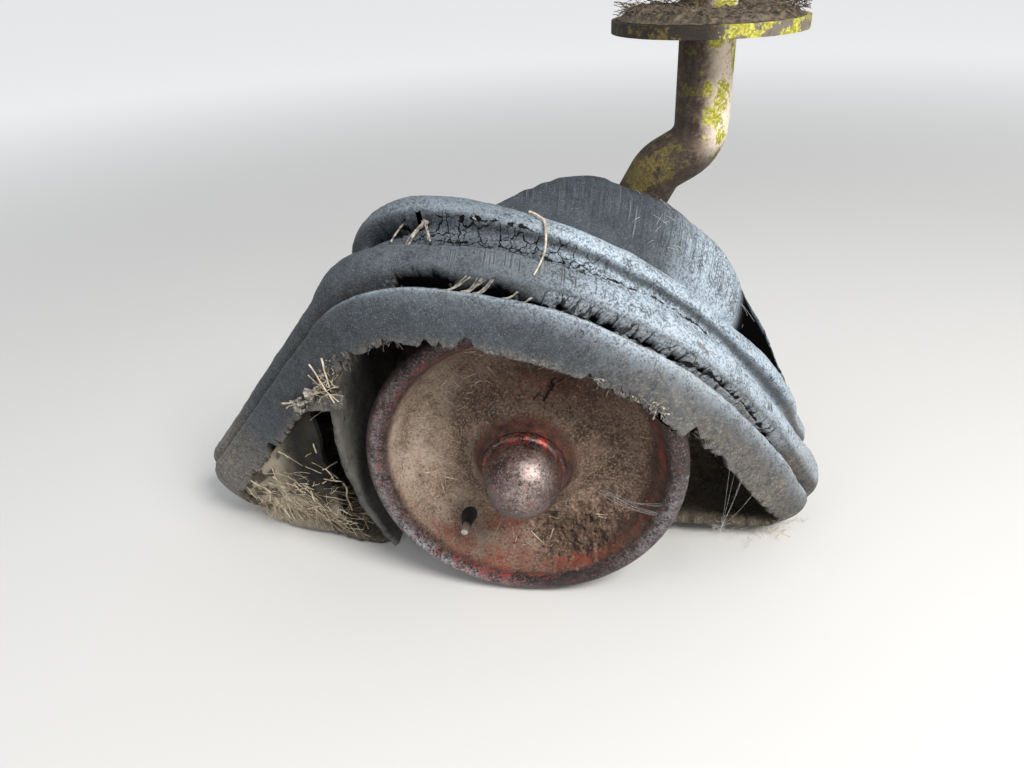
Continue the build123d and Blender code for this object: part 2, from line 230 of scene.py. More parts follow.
def rubber_finish():
    f = Finish("perished_rubber", 0.6, 0.0, 0.42)
    groove, dust, dark, bloom_and_sheen = f.mask("marks")
    front_path, middle_path, rear_path, combed = f.mask("paths")
    blotch, mottle = f.noise(17.0, 7.0, 0.62), f.noise(95.0, 6.0, 0.72)
    grit, fine = f.noise(610.0, 4.0, 0.78), f.noise(1150.0, 3.0, 0.8)
    sheen = bloom_and_sheen * (mottle * 0.34 + grit * 0.9 + blotch * 0.2).band(0.55, 0.82)
    fleck = f.noise(980.0, 2.0, 0.6).band(0.64, 0.70) * f.noise(70.0, 4.0, 0.7).band(0.40, 0.60)
    pit = f.noise(340.0, 4.0, 0.72).band(0.40, 0.30)
    # fine ribs of the far sidewall's carcass
    side = f.parts("SeparateXYZ", f.uv)[1].band(0.120, 0.126)
    ribs = side * f.uv_noise(1000.0, 26.0).band(0.50, 0.40)
    scratch = side * f.uv_noise(420.0, 9.0).band(0.64, 0.67)
    cobble = f.noise(190.0, 8.0, 0.8).band(0.30, 0.68) * dust
    gritty = f.noise(520.0, 3.0, 0.7).band(0.54, 0.66) * dust

    # dried-out cracks in the grooves, in plates
    wobble = f.node("TexNoise", "Color", {"Vector": f.uv, "Scale": 150.0, "Detail": 6.0})
    drift = f.node("Mix", 2, {0: 0.009, 6: f.uv, 7: wobble}, data_type="RGBA", blend_type="ADD")
    plates = f.cells(92.0, drift).band(0.008, 0.036, 1.0, 0.0)
    crazed = f.cells(250.0, drift).band(0.0, 0.05, 0.75, 0.0) * mottle.band(0.46, 0.58)
    line = plates.most(crazed) * groove

    # long ragged cracks at the feet of the ribs
    ragged = (f.noise(130.0, 5.0, 0.62) - 0.5) * 7.0
    gape = f.uv_noise(60.0, 0.0).band(0.36, 0.66, -0.45, 0.6)
    gape = gape + f.noise(180.0, 4.0, 0.7).band(0.34, 0.66, -0.55, 0.9)
    front_line = f.line(front_path, ragged, gape + 0.45)
    middle_line = f.line(middle_path, ragged, gape - 0.1)
    rear_line = f.line(rear_path, ragged, gape - 0.15)
    line = line.most(front_line.most(middle_line.most(rear_line)))

    # thin cracks straight across, with pale edges
    comb = f.cells(1.0, f.stretched(150.0, 2.0))
    broken = f.uv_noise(75.0, 60.0).band(0.46, 0.60)
    line = line.most(comb.band(0.0, 0.045, 0.8, 0.0) * broken * combed)
    comb_edge = comb.band(0.05, 0.10, 1.0, 0.0) * (broken * combed)

    # dark ground, pale bloom with painted sheen on what faces the light, brown dust, black cracks,
    # and painted shade where the dark mark lies in pits, holes and the far sidewall's pocket
    f.set("Base Color", f.coats(
        f.mix(blotch.band(0.34, 0.66), (28, 33, 39), (46, 53, 60)),
        (mottle.band(0.42, 0.66), 0.36, (70, 79, 89)),
        (fine.band(0.52, 0.62), 0.5, (112, 122, 132)), (sheen, 1.0, (204, 220, 234)),
        (fleck, 0.6, (162, 172, 180)), (pit, 0.7, (20, 21, 23)), (ribs, 0.55, (30, 32, 34)),
        (scratch, 0.5, (170, 178, 184)), (cobble, 0.8, (142, 131, 116)),
        (gritty, 0.6, (190, 180, 162)),
        (comb_edge, 0.9, (140, 148, 154)), (line, 0.95, (13, 12, 12)), (dark, 1.0, (8, 8, 8)),
    ))
    f.set("Roughness", grit.band(0.3, 0.7, 0.5, 0.82))
    f.set("Specular IOR Level", dark.most(line).band(0.0, 1.0, 0.42, 0.0))
    crack = (line * -1.0, 0.0025, 1.0)
    f.bumps((grit, 0.0009, 0.7), (mottle, 0.0022, 0.5), (fine, 0.0005, 0.6), crack)
    return f.mat


def inner_finish(name, deep, plain, dusty):
    f = Finish(name, 0.9, 0.0, 0.2)
    _, dust, dark, _ = f.mask("marks")
    grit = f.noise(480.0, 4.0, 0.75)
    # the dark mark is painted shade on the near wall and over the folded wall's right half, and
    # dark patches on the folded wall
    f.set("Base Color", f.coats(
        f.mix(f.noise(32.0, 7.0, 0.68).band(0.32, 0.68), deep, plain),
        (grit.band(0.52, 0.68), 0.45, (92, 88, 82)),
        (dust * f.noise(46.0, 8.0, 0.74).band(0.22, 0.58), 0.9, dusty),
        (dust * grit.band(0.54, 0.66), 0.7, (188, 176, 152)),
        (f.noise(210.0, 5.0, 0.7).band(0.42, 0.30), 0.75, (20, 18, 16)), (dark, 1.0, (12, 11, 11)),
    ))
    f.bumps((f.noise(120.0, 7.0, 0.72), 0.0022, 0.7), (grit, 0.0009, 0.8))
    return f.mat


def rim_finish():
    f = Finish("rim_red_paint", 0.72, 0.0, 0.4)
    red, dirt, lip, pale = f.mask("marks")
    patch = f.noise(20.0, 8.0, 0.68, 0.4)
    flakes, grit = f.noise(120.0, 7.0, 0.72), f.noise(560.0, 4.0, 0.78)
    rust = f.mix(flakes.band(0.35, 0.68), (56, 39, 32), (104, 75, 62))
    light = f.mix(f.noise(60.0, 8.0, 0.72).band(0.34, 0.66), (168, 142, 120), (244, 224, 202))
    # soil, paler where the pale mark lays dust and painted light
    soil = f.coats(
        f.mix(f.noise(44.0, 8.0, 0.76).band(0.36, 0.64), (92, 70, 57), (166, 136, 116)),
        (pale, 1.0, light), (grit.band(0.51, 0.62), 0.6, (214, 200, 178)),
        (grit.band(0.47, 0.36), 0.75, (60, 45, 37)),
    )
    # red shows in fine streaks and flecks, never in clouds
    broken = patch * 0.7 + f.noise(330.0, 7.0, 0.8) * 0.75
    broken = broken * 0.8 + f.uv_noise(120.0, 420.0, 6.0, 0.8) * 0.32
    blush = red.band(0.2, 0.9) * (patch + flakes).band(0.82, 1.18)
    # crumbled cracks in the caked dirt
    split = (f.cells(38.0) + flakes * 0.16).band(0.075, 0.10, 1.0, 0.0) * patch.band(0.55, 0.62)
    fleck_where = f.uv_noise(26.0, 120.0, 4.0, 0.7).band(0.46, 0.58)
    streaks = f.uv_noise(170.0, 460.0, 6.0, 0.78) + red * 0.09
    # the lip: dark metal with pale grit as painted glints, the pale mark as painted highlight, the
    # dirt mark as painted shade, and red streaks
    lip_tone = f.coats(
        f.mix(flakes.band(0.38, 0.66), (42, 32, 30), (88, 71, 66)),
        (grit.band(0.53, 0.63), 0.6, (158, 144, 142)), (grit.band(0.47, 0.37), 0.7, (20, 15, 16)),
        (pale * (flakes + grit).band(0.86, 1.10), 0.85, (204, 204, 212)), (dirt, 0.8, (24, 17, 18)),
        (streaks.band(0.58, 0.62) * (fleck_where + red), 0.9, (158, 58, 46)),
    )
    f.set("Base Color", f.coats(
        rust, (dirt, 1.0, soil), (red * broken.band(0.775, 0.81), 0.85, (184, 76, 56)),
        (blush, 0.62, (150, 84, 67)), (split * dirt, 0.8, (26, 20, 17)), (lip, 1.0, lip_tone),
    ))
    f.set("Roughness", (lip * -0.5 + flakes * 0.3).band(-0.4, 0.3, 0.3, 0.95))
    f.bumps(((1.0 - lip) * f.noise(110.0, 9.0, 0.8), 0.006, 0.75), (grit, 0.0020, 0.9))
    return f.mat


def cap_finish():
    f = Finish("hub_cap_metal", 0.4, 0.45, 0.7)
    red, dust, _, _ = f.mask("marks")
    blotch, grit = f.noise(60.0, 8.0, 0.7), f.noise(620.0, 4.0, 0.78)
    # the dust mark holds a painted highlight at the upper right and dust on the front
    f.set("Base Color", f.coats(
        f.mix(blotch.band(0.36, 0.64), (54, 40, 38), (98, 78, 73)),
        (dust * (blotch + grit).band(0.80, 1.16), 0.85, (210, 194, 186)),
        (grit.band(0.54, 0.64), 0.4, (200, 184, 176)), (grit.band(0.47, 0.36), 0.7, (44, 32, 31)),
        (red * f.noise(150.0, 7.0, 0.76).band(0.50, 0.58), 0.9, (176, 70, 56)),
    ))
    f.set("Roughness", (blotch + grit * 0.5).band(0.5, 1.0, 0.2, 0.42))
    f.bumps((blotch, 0.0014, 0.5), (grit, 0.0005, 0.6))
    return f.mat


def leg_finish():
    f = Finish("yellow_green_paint_rust", 0.75, 0.0, 0.35)
    patch, flake = f.noise(34.0, 7.0, 0.66, 0.3), f.noise(110.0, 8.0, 0.75)
    fine = f.noise(460.0, 5.0, 0.75)
    # painted shade: dark on the shaded side of the upright and low down; dark on the plate; painted
    # light: pale on the lit side (heights in m)
    across, _, height = f.parts("SeparateXYZ", f.place)
    edge = across + (patch - 0.5) * 0.022
    shaded = edge.band(0.004, -0.012).most(height.band(-0.074, -0.096))
    plate = height.band(-0.0135, -0.0125) * height.band(0.0035, 0.0015)
    lit_side = edge.band(-0.005, 0.009) * height.band(-0.115, -0.085)
    metal = f.coats(
        f.mix(flake.band(0.34, 0.66), (84, 66, 56), (172, 148, 130)),
        (fine.band(0.50, 0.66), 0.5, (208, 188, 168)), (fine.band(0.46, 0.34), 0.6, (58, 44, 37)),
        (lit_side, 0.88, (255, 238, 218)), (lit_side * fine.band(0.46, 0.36), 0.6, (96, 72, 62)),
        (shaded, 0.84, (44, 35, 27)), (plate, 0.8, (46, 41, 35)),
    )
    # what is left of the paint, in crisp patches
    wear = patch * 0.8 + flake * 0.62 + plate * 0.012 - shaded * 0.055 + lit_side * 0.02
    green = f.mix(fine.band(0.4, 0.64), (152, 146, 46), (222, 216, 108))
    # painted shade: the paint is darker, and olive, on the shaded side
    green = f.coats(green, (shaded, 0.5, (74, 72, 30)))
    olive = f.mix(fine.band(0.36, 0.64), (74, 64, 36), (116, 104, 58))
    f.set("Base Color", f.coats(
        metal, (wear.band(0.72, 0.75), 1.0, green), (shaded * wear.band(0.69, 0.73), 1.0, olive),
    ))
    f.bumps((flake, 0.0016, 0.6), (fine, 0.0008, 0.7))
    return f.mat


def plain_finish(name, dark, pale, roughness, metallic=0.0, scale=160.0, depth=0.0005):
    f = Finish(name, roughness, metallic)
    f.set("Base Color", f.mix(f.noise(scale, 6.0, 0.7).band(0.35, 0.68), dark, pale))
    f.bumps((f.noise(scale * 3, 5.0, 0.7), depth, 0.6))
    return f.mat


RUBBER = rubber_finish()
INSIDE = inner_finish("dusty_rubber_inside", (22, 21, 20), (50, 47, 44), (132, 122, 106))
WALL = inner_finish("weathered_sidewall", (58, 58, 58), (104, 103, 101), (140, 135, 126))
DUSTY = inner_finish("dust_caked_sidewall", (30, 28, 26), (86, 80, 72), (184, 172, 152))
RIM = rim_finish()
CAP = cap_finish()
LEG = leg_finish()
STEEL = plain_finish("old_greased_steel", (48, 42, 38), (92, 82, 74), 0.5, 0.7)
VALVE_RUBBER = plain_finish("valve_rubber", (26, 25, 25), (48, 45, 43), 0.7)
VALVE_METAL = plain_finish("valve_metal", (128, 120, 112), (214, 206, 196), 0.45, 0.4)
CORD = plain_finish("frayed_cord", (98, 92, 84), (206, 200, 188), 0.9, 0.0, 300.0, 0.001)
STRAW = plain_finish("straw", (166, 148, 118), (240, 226, 202), 0.8)
FIBRE = plain_finish("hay_debris", (52, 45, 38), (124, 110, 92), 0.95, 0.0, 240.0, 0.001)
WEB = plain_finish("cobweb", (196, 196, 196), (232, 232, 232), 0.8)
CRUMB = plain_finish("rubber_crumbs", (38, 38, 38), (118, 112, 104), 0.9, 0.0, 420.0, 0.001)
BRIGHT = plain_finish(
    "worn_bright_wire", (120, 124, 128), (206, 208, 210), 0.3, 0.8, 300.0, 0.0004)
RIFT = plain_finish("dark_crack", (20, 15, 12), (44, 34, 28), 1.0, 0.0, 300.0, 0.001)
CLOD = plain_finish("caked_dirt", (104, 82, 68), (196, 170, 148), 0.95, 0.0, 60.0, 0.001)
SOIL = plain_finish("heaped_soil", (66, 50, 41), (134, 108, 90), 0.95, 0.0, 180.0, 0.0015)


# meshes
def chaikin(points, rounds=2, closed=False):
    pts = np.asarray(points, float)
    for _ in range(rounds):
        nxt = np.roll(pts, -1, axis=0) if closed else pts[1:]
        cur = pts if closed else pts[:-1]
        mixed = np.stack([0.75 * cur + 0.25 * nxt, 0.25 * cur + 0.75 * nxt], axis=1)
        mixed = mixed.reshape(-1, pts.shape[1])
        pts = mixed if closed else np.vstack([pts[:1], mixed, pts[-1:]])
    return pts


def walked(points):
    """Distance along a line at each of its points."""
    return np.concatenate([[0], np.cumsum(np.linalg.norm(np.diff(points, axis=0), axis=1))])


def resample(points, count, closed=False):
    pts = np.asarray(points, float)
    if closed:
        pts = np.vstack([pts, pts[:1]])
    walk = walked(pts)
    want = np.linspace(0, walk[-1], count, endpoint=not closed)
    return np.stack([np.interp(want, walk, pts[:, k]) for k in range(pts.shape[1])], axis=1)


def unit(vectors):
    return vectors / (np.linalg.norm(vectors, axis=-1, keepdims=True) + 1e-9)


def circle(count):
    return np.linspace(0, 2 * math.pi, count, endpoint=False)


def grid(*pair):
    """Both numbers of a grid's places, side by side."""
    return np.stack(np.broadcast_arrays(*pair), axis=-1)


def blend(a, b, t):
    """Rows of points that go from one line to another."""
    t = t[..., None]
    return a[:, None] * (1 - t) + b[:, None] * t


def there_and_back(top, under):
    """Closed rows of points, along one sheet and back along another."""
    return np.concatenate([top, under[:, ::-1]], axis=1)


def piece(name, points, faces, materials, body, marks=None, uv=None, which=None, smoothed=True,
          paths=(NO_PATH, NO_PATH, NO_PATH, 0.0)):
    """A mesh object riding on a body. Points and uv are in mm, and may be grids of rows.

    Marks are the red, green, blue and alpha that a finish reads, as numbers or grids.
    """
    shape = np.shape(points)[:-1]
    points = (np.reshape(points, (-1, 3)) - HOME) * MM
    kept = np.arange(len(points))
    if isinstance(faces, np.ndarray):  # points that no face uses are left out
        kept, where = np.unique(faces, return_inverse=True)
        faces = where.reshape(faces.shape).tolist()
    mesh = bpy.data.meshes.new(name)
    mesh.from_pydata(points[kept].tolist(), [], faces)
    for material in materials:
        mesh.materials.append(material)
    if which is not None:
        mesh.polygons.foreach_set("material_index", np.asarray(which, np.int32))
    mesh.polygons.foreach_set("use_smooth", np.full(len(mesh.polygons), smoothed))
    if marks is not None:
        marks = [np.clip(v, 0, 1) for v in (*marks, 0, 0, 0)[:4]]
        for layer_name, values in (("marks", marks), ("paths", paths)):
            layer = mesh.color_attributes.new(layer_name, "FLOAT_COLOR", "POINT")
            values = np.stack([np.broadcast_to(v, shape) for v in values], axis=-1)
            layer.data.foreach_set("color", values.reshape(-1, 4)[kept].ravel())
    if uv is not None:
        layer = mesh.uv_layers.new(name="UVMap")
        corner = np.zeros(len(mesh.loops), np.int32)
        mesh.loops.foreach_get("vertex_index", corner)
        layer.data.foreach_set("uv", (uv.reshape(-1, 2) * MM)[kept][corner].ravel())
    mesh.update()
    obj = bpy.data.objects.new(name, mesh)
    bpy.context.collection.objects.link(obj)
    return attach(obj, body)


def grid_faces(rows, cols, close_rows=False, close_cols=False):
    r = np.arange(rows if close_rows else rows - 1)
    c = np.arange(cols if close_cols else cols - 1)
    r, c = np.meshgrid(r, c, indexing="ij")
    r2, c2 = (r + 1) % rows, (c + 1) % cols
    quads = np.stack([r * cols + c, r2 * cols + c, r2 * cols + c2, r * cols + c2], axis=-1)
    return quads.reshape(-1, 4)


def capped_faces(rows, cols, first=0):
    """Quads round a closed section swept along rows, and both ends."""
    faces = (grid_faces(rows, cols, close_cols=True) + first).tolist()
    end = first + (rows - 1) * cols
    return faces + [list(range(first, first + cols))[::-1], list(range(end, end + cols))]


def tubes(name, runs, material, body, sides=5, taper=0.6):
    """Many thin strands as one piece. A run is (points in mm, radius in mm)."""
    points, faces, first = [], [], 0
    turn = circle(sides)[:, None]
    for line, radius in runs:
        line = chaikin(line, 2) if len(line) > 2 else np.asarray(line, float)
        ahead = unit(np.gradient(line, axis=0))
        side = unit(np.cross(ahead, (0.31, 0.22, 0.92)))
        over = np.cross(ahead, side)
        width = radius * np.linspace(1.0, taper, len(line))[:, None, None]
        ring = side[:, None] * np.cos(turn) + over[:, None] * np.sin(turn)
        points.append((line[:, None] + ring * width).reshape(-1, 3))
        faces += capped_faces(len(line), sides, first)
        first += len(line) * sides
    return piece(name, np.vstack(points), faces, [material], body)


# the loose casing's loop in its leaned plane, walked clockwise: x, and u up the lean
LEAN = math.radians(27.0)
GROUND_U, SLOPE = -146.0, 52.8
CORNER, LEFT_CORNER, FLANK = 34.0, 44.0, 1000.0
TOP = np.array([-125.0, 115.0])
CROWN = ((81.0, 52.8), (200.0, 32.0), (330.0, 24.0))  # radius, turn in degrees
FLARE, FLARE_PIVOT = 0.38, 34.0


def outward(heading):
    h = np.radians(heading)
    return np.stack([-np.sin(h), np.cos(h)], axis=-1)


def along(heading):
    h = np.radians(heading)
    return np.stack([np.cos(h), np.sin(h)], axis=-1)


def make_loop():
    """Pieces of the loop: start, heading, radius (0 for a line), length."""
    foot_u = GROUND_U + LEFT_CORNER + LEFT_CORNER * math.cos(math.radians(SLOPE))
    run = (TOP[1] - foot_u) / math.sin(math.radians(SLOPE))
    foot = TOP - along(SLOPE) * run
    made = [(foot, SLOPE, 0.0, run)]
    point, heading = TOP, SLOPE
    for radius, turn in CROWN:
        made.append((point, heading, radius, radius * math.radians(turn)))
        centre = point - outward(heading) * radius
        heading -= turn
        point = centre + outward(heading) * radius
    centre = point - outward(heading) * FLANK
    end = -math.degrees(math.acos((GROUND_U + CORNER - centre[1]) / (FLANK - CORNER)))
    made.append((point, heading, FLANK, FLANK * math.radians(heading - end)))
    point = centre + outward(end) * FLANK
    made.append((point, end, CORNER, CORNER * math.radians(180 + end)))
    floor_right = point + (outward(-180.0) - outward(end)) * CORNER
    floor_left = foot + (outward(-180.0) - outward(SLOPE)) * LEFT_CORNER
    made.append((floor_right, -180.0, 0.0, float(np.linalg.norm(floor_left - floor_right))))
    made.append((floor_left, -180.0, LEFT_CORNER, LEFT_CORNER * math.radians(180 - SLOPE)))
    return made


LOOP = make_loop()
LOOP_LENGTH = sum(part[3] for part in LOOP)


def loop_at(s):
    """Point, heading and flare of the loop at distances s."""
    s = np.mod(np.asarray(s, float), LOOP_LENGTH)
    point, heading, flare = np.zeros(s.shape + (2,)), np.zeros(s.shape), np.zeros(s.shape)
    start = 0.0
    for index, (origin, head, radius, length) in enumerate(LOOP):
        here = (s >= start) & (s < start + length + 1e-9)
        d = s[here] - start
        if radius:
            turned = head - np.degrees(d / radius)
            point[here] = origin + (outward(turned) - outward(head)) * radius
            heading[here] = turned
        else:
            point[here] = origin + along(head) * d[:, None]
            heading[here] = head
        if index == 0:
            flare[here] = FLARE
        elif index == 1:
            flare[here] = FLARE * (1 - d / length) ** 2
        elif index == len(LOOP) - 1:
            flare[here] = FLARE * (d / length) ** 2
        start += length
    return point, heading, flare


def leaned(x, q, u):
    """Place of (x, across, up the lean)."""
    return np.stack([
        x, q * math.cos(LEAN) - u * math.sin(LEAN), q * math.sin(LEAN) + u * math.cos(LEAN),
    ], axis=-1)


def stand(s, q, n):
    """Place of (distance along, across, height) on the casing."""
    point, heading, flare = loop_at(s)
    n = n - flare * np.maximum(0.0, q - FLARE_PIVOT)
    flat = point + outward(heading) * n[..., None]
    return leaned(flat[..., 0], q, flat[..., 1])


WHEEL_FRONT, WHEEL_BACK = -6.5, 69.6
# how near rubber may come to the wheel's axis and to the arm's
CLEAR_OUTSIDE, CLEAR_INSIDE = (121.6, 18.5), (119.6, 16.7)
CLEAR_SKIRT, CLEAR_WEB = (121.0, 17.2), (120.5, 21.0)
ARM_AT, ARM_WAY = np.array([0.0, 150.0, 0.0]), unit(np.array([91.0, 0.0, 170.0]))


def keep_clear(points, rim_gap, arm_gap):
    """Push points out of the room the wheel turns in, and off the arm."""
    p = points.reshape(-1, 3).copy()
    r = np.hypot(p[:, 0], p[:, 2])
    inside = (r < rim_gap) & (p[:, 1] > WHEEL_FRONT) & (p[:, 1] < WHEEL_BACK)
    ahead = inside & (p[:, 1] - WHEEL_FRONT < rim_gap - r)
    p[ahead, 1] = WHEEL_FRONT
    aside = inside & ~ahead
    p[aside, ::2] *= (rim_gap / r[aside])[:, None]
    rel = p - ARM_AT
    off = rel - (rel @ ARM_WAY)[:, None] * ARM_WAY
    far = np.linalg.norm(off, axis=1)
    near = (far < arm_gap) & (rel @ ARM_WAY > 0)
    p[near] += off[near] * ((arm_gap - far[near]) / (far[near] + 1e-9))[:, None]
    return p.reshape(points.shape)


# the casing's section, as place across and height
TREAD_OUTER = [
    (18, -26), (26, -11), (31, -3.5), (36, 0.6), (39.4, 1.2), (40.6, -0.6), (41.2, -5), (43.0, -6),
    (44.6, -2), (46, 5.6), (49, 9.4), (54, 11.4), (62, 11.8), (66, 10.4), (67.8, 6.6), (68.8, 1),
    (70.4, -0.8), (88, -2), (90, 1), (92, 4.6), (97, 6.4), (106, 4.4), (114, -3), (119, -12),
]
TREAD_INNER = [(112, -18), (96, -9), (64, -8), (44, -14), (34, -20), (24, -31)]
# cuts in the torn edge: distance along, half length, depth
TEARS = [
    (40, 16, 4), (96, 22, 6), (150, 12, 4), (205, 18, 5), (258, 12, 3), (300, 16, 3),
    (352, 12, 4), (398, 20, 3), (446, 12, 4), (492, 16, 3), (540, 12, 5), (586, 18, 5),
]
# holes, and small pits painted black as shade: distance along, place across, length, width
HOLES = [(331, 42.4, 42, 3.6), (369, 42.6, 13, 3.6), (293, 86.5, 32, 7), (315, 90.2, 12, 4)]
PITS = [
    (325, 45.3, 40, 14), (350, 44.4, 26, 8), (367, 45.0, 25, 12), (386, 44.4, 10, 5),
    (393, 44.6, 6, 4), (406, 45, 11, 4), (429, 45.2, 10, 7), (440, 45.0, 13, 8), (459, 44.9, 8, 4),
    (471, 45.1, 11, 6), (492, 45.1, 13, 7.5), (515, 45.6, 8, 4), (541, 46, 9, 5), (575, 46, 10, 4),
    (610, 45, 12, 5),
]
# long cracks: first and last distance where open, depth, and (distance along, place across)
CRACKS = [
    (376, 668, 2.6, [
        (376, 44.6), (393, 44.1), (417, 44.4), (440, 44.8), (471, 44.7), (492, 44.8),
        (512, 45.4), (540, 46), (573, 46), (610, 44.8), (648, 44), (664, 42.5)]),
    (318, 545, 1.6, [
        (300, 80), (330, 79.4), (369, 79.2), (418, 78.6), (436, 80.6), (464, 84.4),
        (510, 86), (560, 86)]),
    (266, 396, 2.2, [
        (262, 78), (278, 82), (292, 87), (304, 89.6), (322, 91), (340, 91.4), (368, 93),
        (400, 92)]),
]
TEAR_REACH = 26.0  # how far across the tread a tear draws the section along
STATIONS, OUTER_POINTS, INNER_POINTS = 800, 96, 26

outer_line = resample(chaikin(TREAD_OUTER, 2), OUTER_POINTS)
inner_line = chaikin([TREAD_OUTER[-1]] + TREAD_INNER + [TREAD_OUTER[0]], 2)
inner_line = resample(inner_line, INNER_POINTS + 2)[1:-1]
section = np.vstack([outer_line, inner_line])
is_outer = np.arange(len(section)) < OUTER_POINTS


def tear_depth(s):
    """How far the torn front edge is cut back at each distance."""
    deep = 1.4 * wander(3, 27.0, s) + 1.3 * wander(4, 7.0, s) + 1.5 * wander(5, 2.6, s)
    deep = deep + wander(8, 1.7, s) + 10.0 * np.clip(wander(6, 4.2, s) - 0.4, 0, 1)
    for where, half, depth in TEARS:
        deep = deep + depth * 0.55 * np.clip(1 - np.abs(s - where) / half, 0, 1)
    return np.clip(deep, 0, 14)


def oval(x, y, length, width):
    """1 on the edge of an oval, less inside."""
    return (x / (length / 2)) ** 2 + (y / (width / 2)) ** 2


def hole_field(s, q):
    """Under 1 inside a hole that wear has opened through."""
    ragged = 0.34 * grain(11, 3.4, s, 1.8 * q) + 0.26 * grain(12, 1.5, s, 1.8 * q)
    near = [oval(s - where, q - across, *size) for where, across, *size in HOLES]
    return np.minimum(9.0, np.min(near, axis=0) + ragged)


def casing_surface(s, q, n, outer):
    """Wear, ripples and cracks on the section; also the marks for the finish."""
    front = fall(s, 690, 34)
    deep = tear_depth(s)
    walk = walked(outer_line)
    place = np.interp(q, outer_line[:, 0], walk)
    slid = np.where(place < TEAR_REACH, deep + place * (1 - deep / TEAR_REACH), place)
    curl = deep * fall(q, 37, 17)
    n = np.where(outer, np.interp(slid, walk, outer_line[:, 1]), n + 0.86 * curl)
    q = np.where(outer, np.interp(slid, walk, outer_line[:, 0]), q + 0.51 * curl)
    wave = wander(21, 46, s) * np.cos(q * 0.09) + 0.8 * wander(22, 33, s + 40) * np.sin(q * 0.13)
    ripple = 0.22 * wander(23, 4, s + 3 * q) + 0.3 * wander(24, 9, 1.4 * s - 2 * q)
    n = n + wave + ripple * outer
    # the rear rib stands a little prouder over the top and low on the right
    n = n + 5.0 * rise(q, 86, 8) * (bell(s, 320, 55) + rise(s, 540, 80) * front)

    mark = np.zeros((4,) + s.shape)
    paths = np.full((4,) + s.shape, NO_PATH)
    for k, (first, last, depth, track) in enumerate(CRACKS):
        middle = np.interp(s, *np.transpose(track))
        path = place - np.interp(middle, outer_line[:, 0], walk)
        here = between(s, first, 14, last, 14)
        shut = 9.0 * (1 - here)
        paths[k] = np.where(outer, path + np.where(path < 0, -shut, shut), NO_PATH)
        opened = bell(path, -1.2 * wander(33 + k, 2.6, s), 1.1) * here
        n = n - opened * depth * smooth(1.1 * wander(43 + k, 7, s) + 0.9) * outer
    rough_edge = 0.6 * grain(13, 1.9, s, place)
    for where, across, length, height in PITS:
        off = place - np.interp(across, outer_line[:, 0], walk)
        pit = fall(oval(s - where, off, length, height) + rough_edge, 1.15, 0.22) * outer
        # each pit is painted black as shade
        mark[2] = np.maximum(mark[2], pit)
        n = n - min(5.0, 0.6 * height) * pit
    combed = between(s, 575, 14, 652, 14) + 0.5 * between(s, 316, 14, 470, 40)
    paths[3] = outer * between(q, 51, 4, 70, 3) * combed
    groove = between(q, 65, 3, 94, 4)
    plated = rise(s, 306, 12) * (1 - 0.75 * rise(s, 408, 40)) * fall(s, 560, 60)
    crazed = between(q, 41.6, 0.8, 48.5, 2) * between(s, 384, 16, 650, 40)
    mark[0] = np.maximum(groove * plated, 0.8 * crazed) * outer

    # bloom with painted light: thin over the top and on the front face, thick on the right where
    # the light falls, and along the rib edges as wear and painted highlight
    left = fall(s, 430, 60)
    bloom_and_sheen = (0.30 + rise(s, 345, 130)) * (0.62 + 0.14 * rise(q, 40, 6) + 0.42 * rise(q, 80, 10))
    bloom_and_sheen = bloom_and_sheen * (1 - 0.5 * between(q, 46, 4, 72, 3) * left) * (1 - 0.5 * groove * left)
    bloom_and_sheen = bloom_and_sheen + 0.6 * fall(s, 130, 80) + 0.4 * (bell(q, 38.6, 1.3) + bell(q, 66.4, 1.2))
    # painted shade in the groove behind the middle rib and at the foot of the rear rib, taken off
    # the bloom
    shade = bell(q, 72, 4.5) + 0.8 * bell(q, 88.6, 1.6)
    mark[3] = np.clip(bloom_and_sheen, 0, 1.4) * (1 - 0.7 * np.clip(shade, 0, 1))
    dust = 0.08 + 0.3 * rise(-loop_at(s)[1], 24, 26) * front * fall(q, 74, 40)
    dust = dust + between(q, 37, 2, 48, 3) * (0.12 + 0.25 * rise(s, 380, 40))
    dust = (dust + 0.34 * fall(q, 34, 10) * rise(s, 430, 90)) * outer * front
    dust = dust + 0.8 * (rise(s, 700, 60) + fall(s, 120, 90))
    dust = dust + 0.55 * between(s, 640, 30, 760, 40) * outer
    mark[1] = np.maximum(dust, 0.6 * fall(q, 22.5, 4))
    return q, n, mark, paths


def lit(points):
    """Whitened rubber with painted light on what faces up and to the right, where the light falls,
    0 to 1, from a grid of points.
    """
    normal = unit(np.cross(np.gradient(points, axis=0), np.gradient(points, axis=1)))
    return smooth((normal @ np.array([0.42, -0.05, 0.90]) + 0.05) / 0.85)


s_grid = np.linspace(0, LOOP_LENGTH, STATIONS, endpoint=False)
S, Q = np.meshgrid(s_grid, section[:, 0], indexing="ij")
N = np.broadcast_to(section[:, 1], S.shape)
OUT = np.broadcast_to(is_outer, S.shape)
worn_q, worn_n, marks, paths = casing_surface(S, Q, N, OUT)
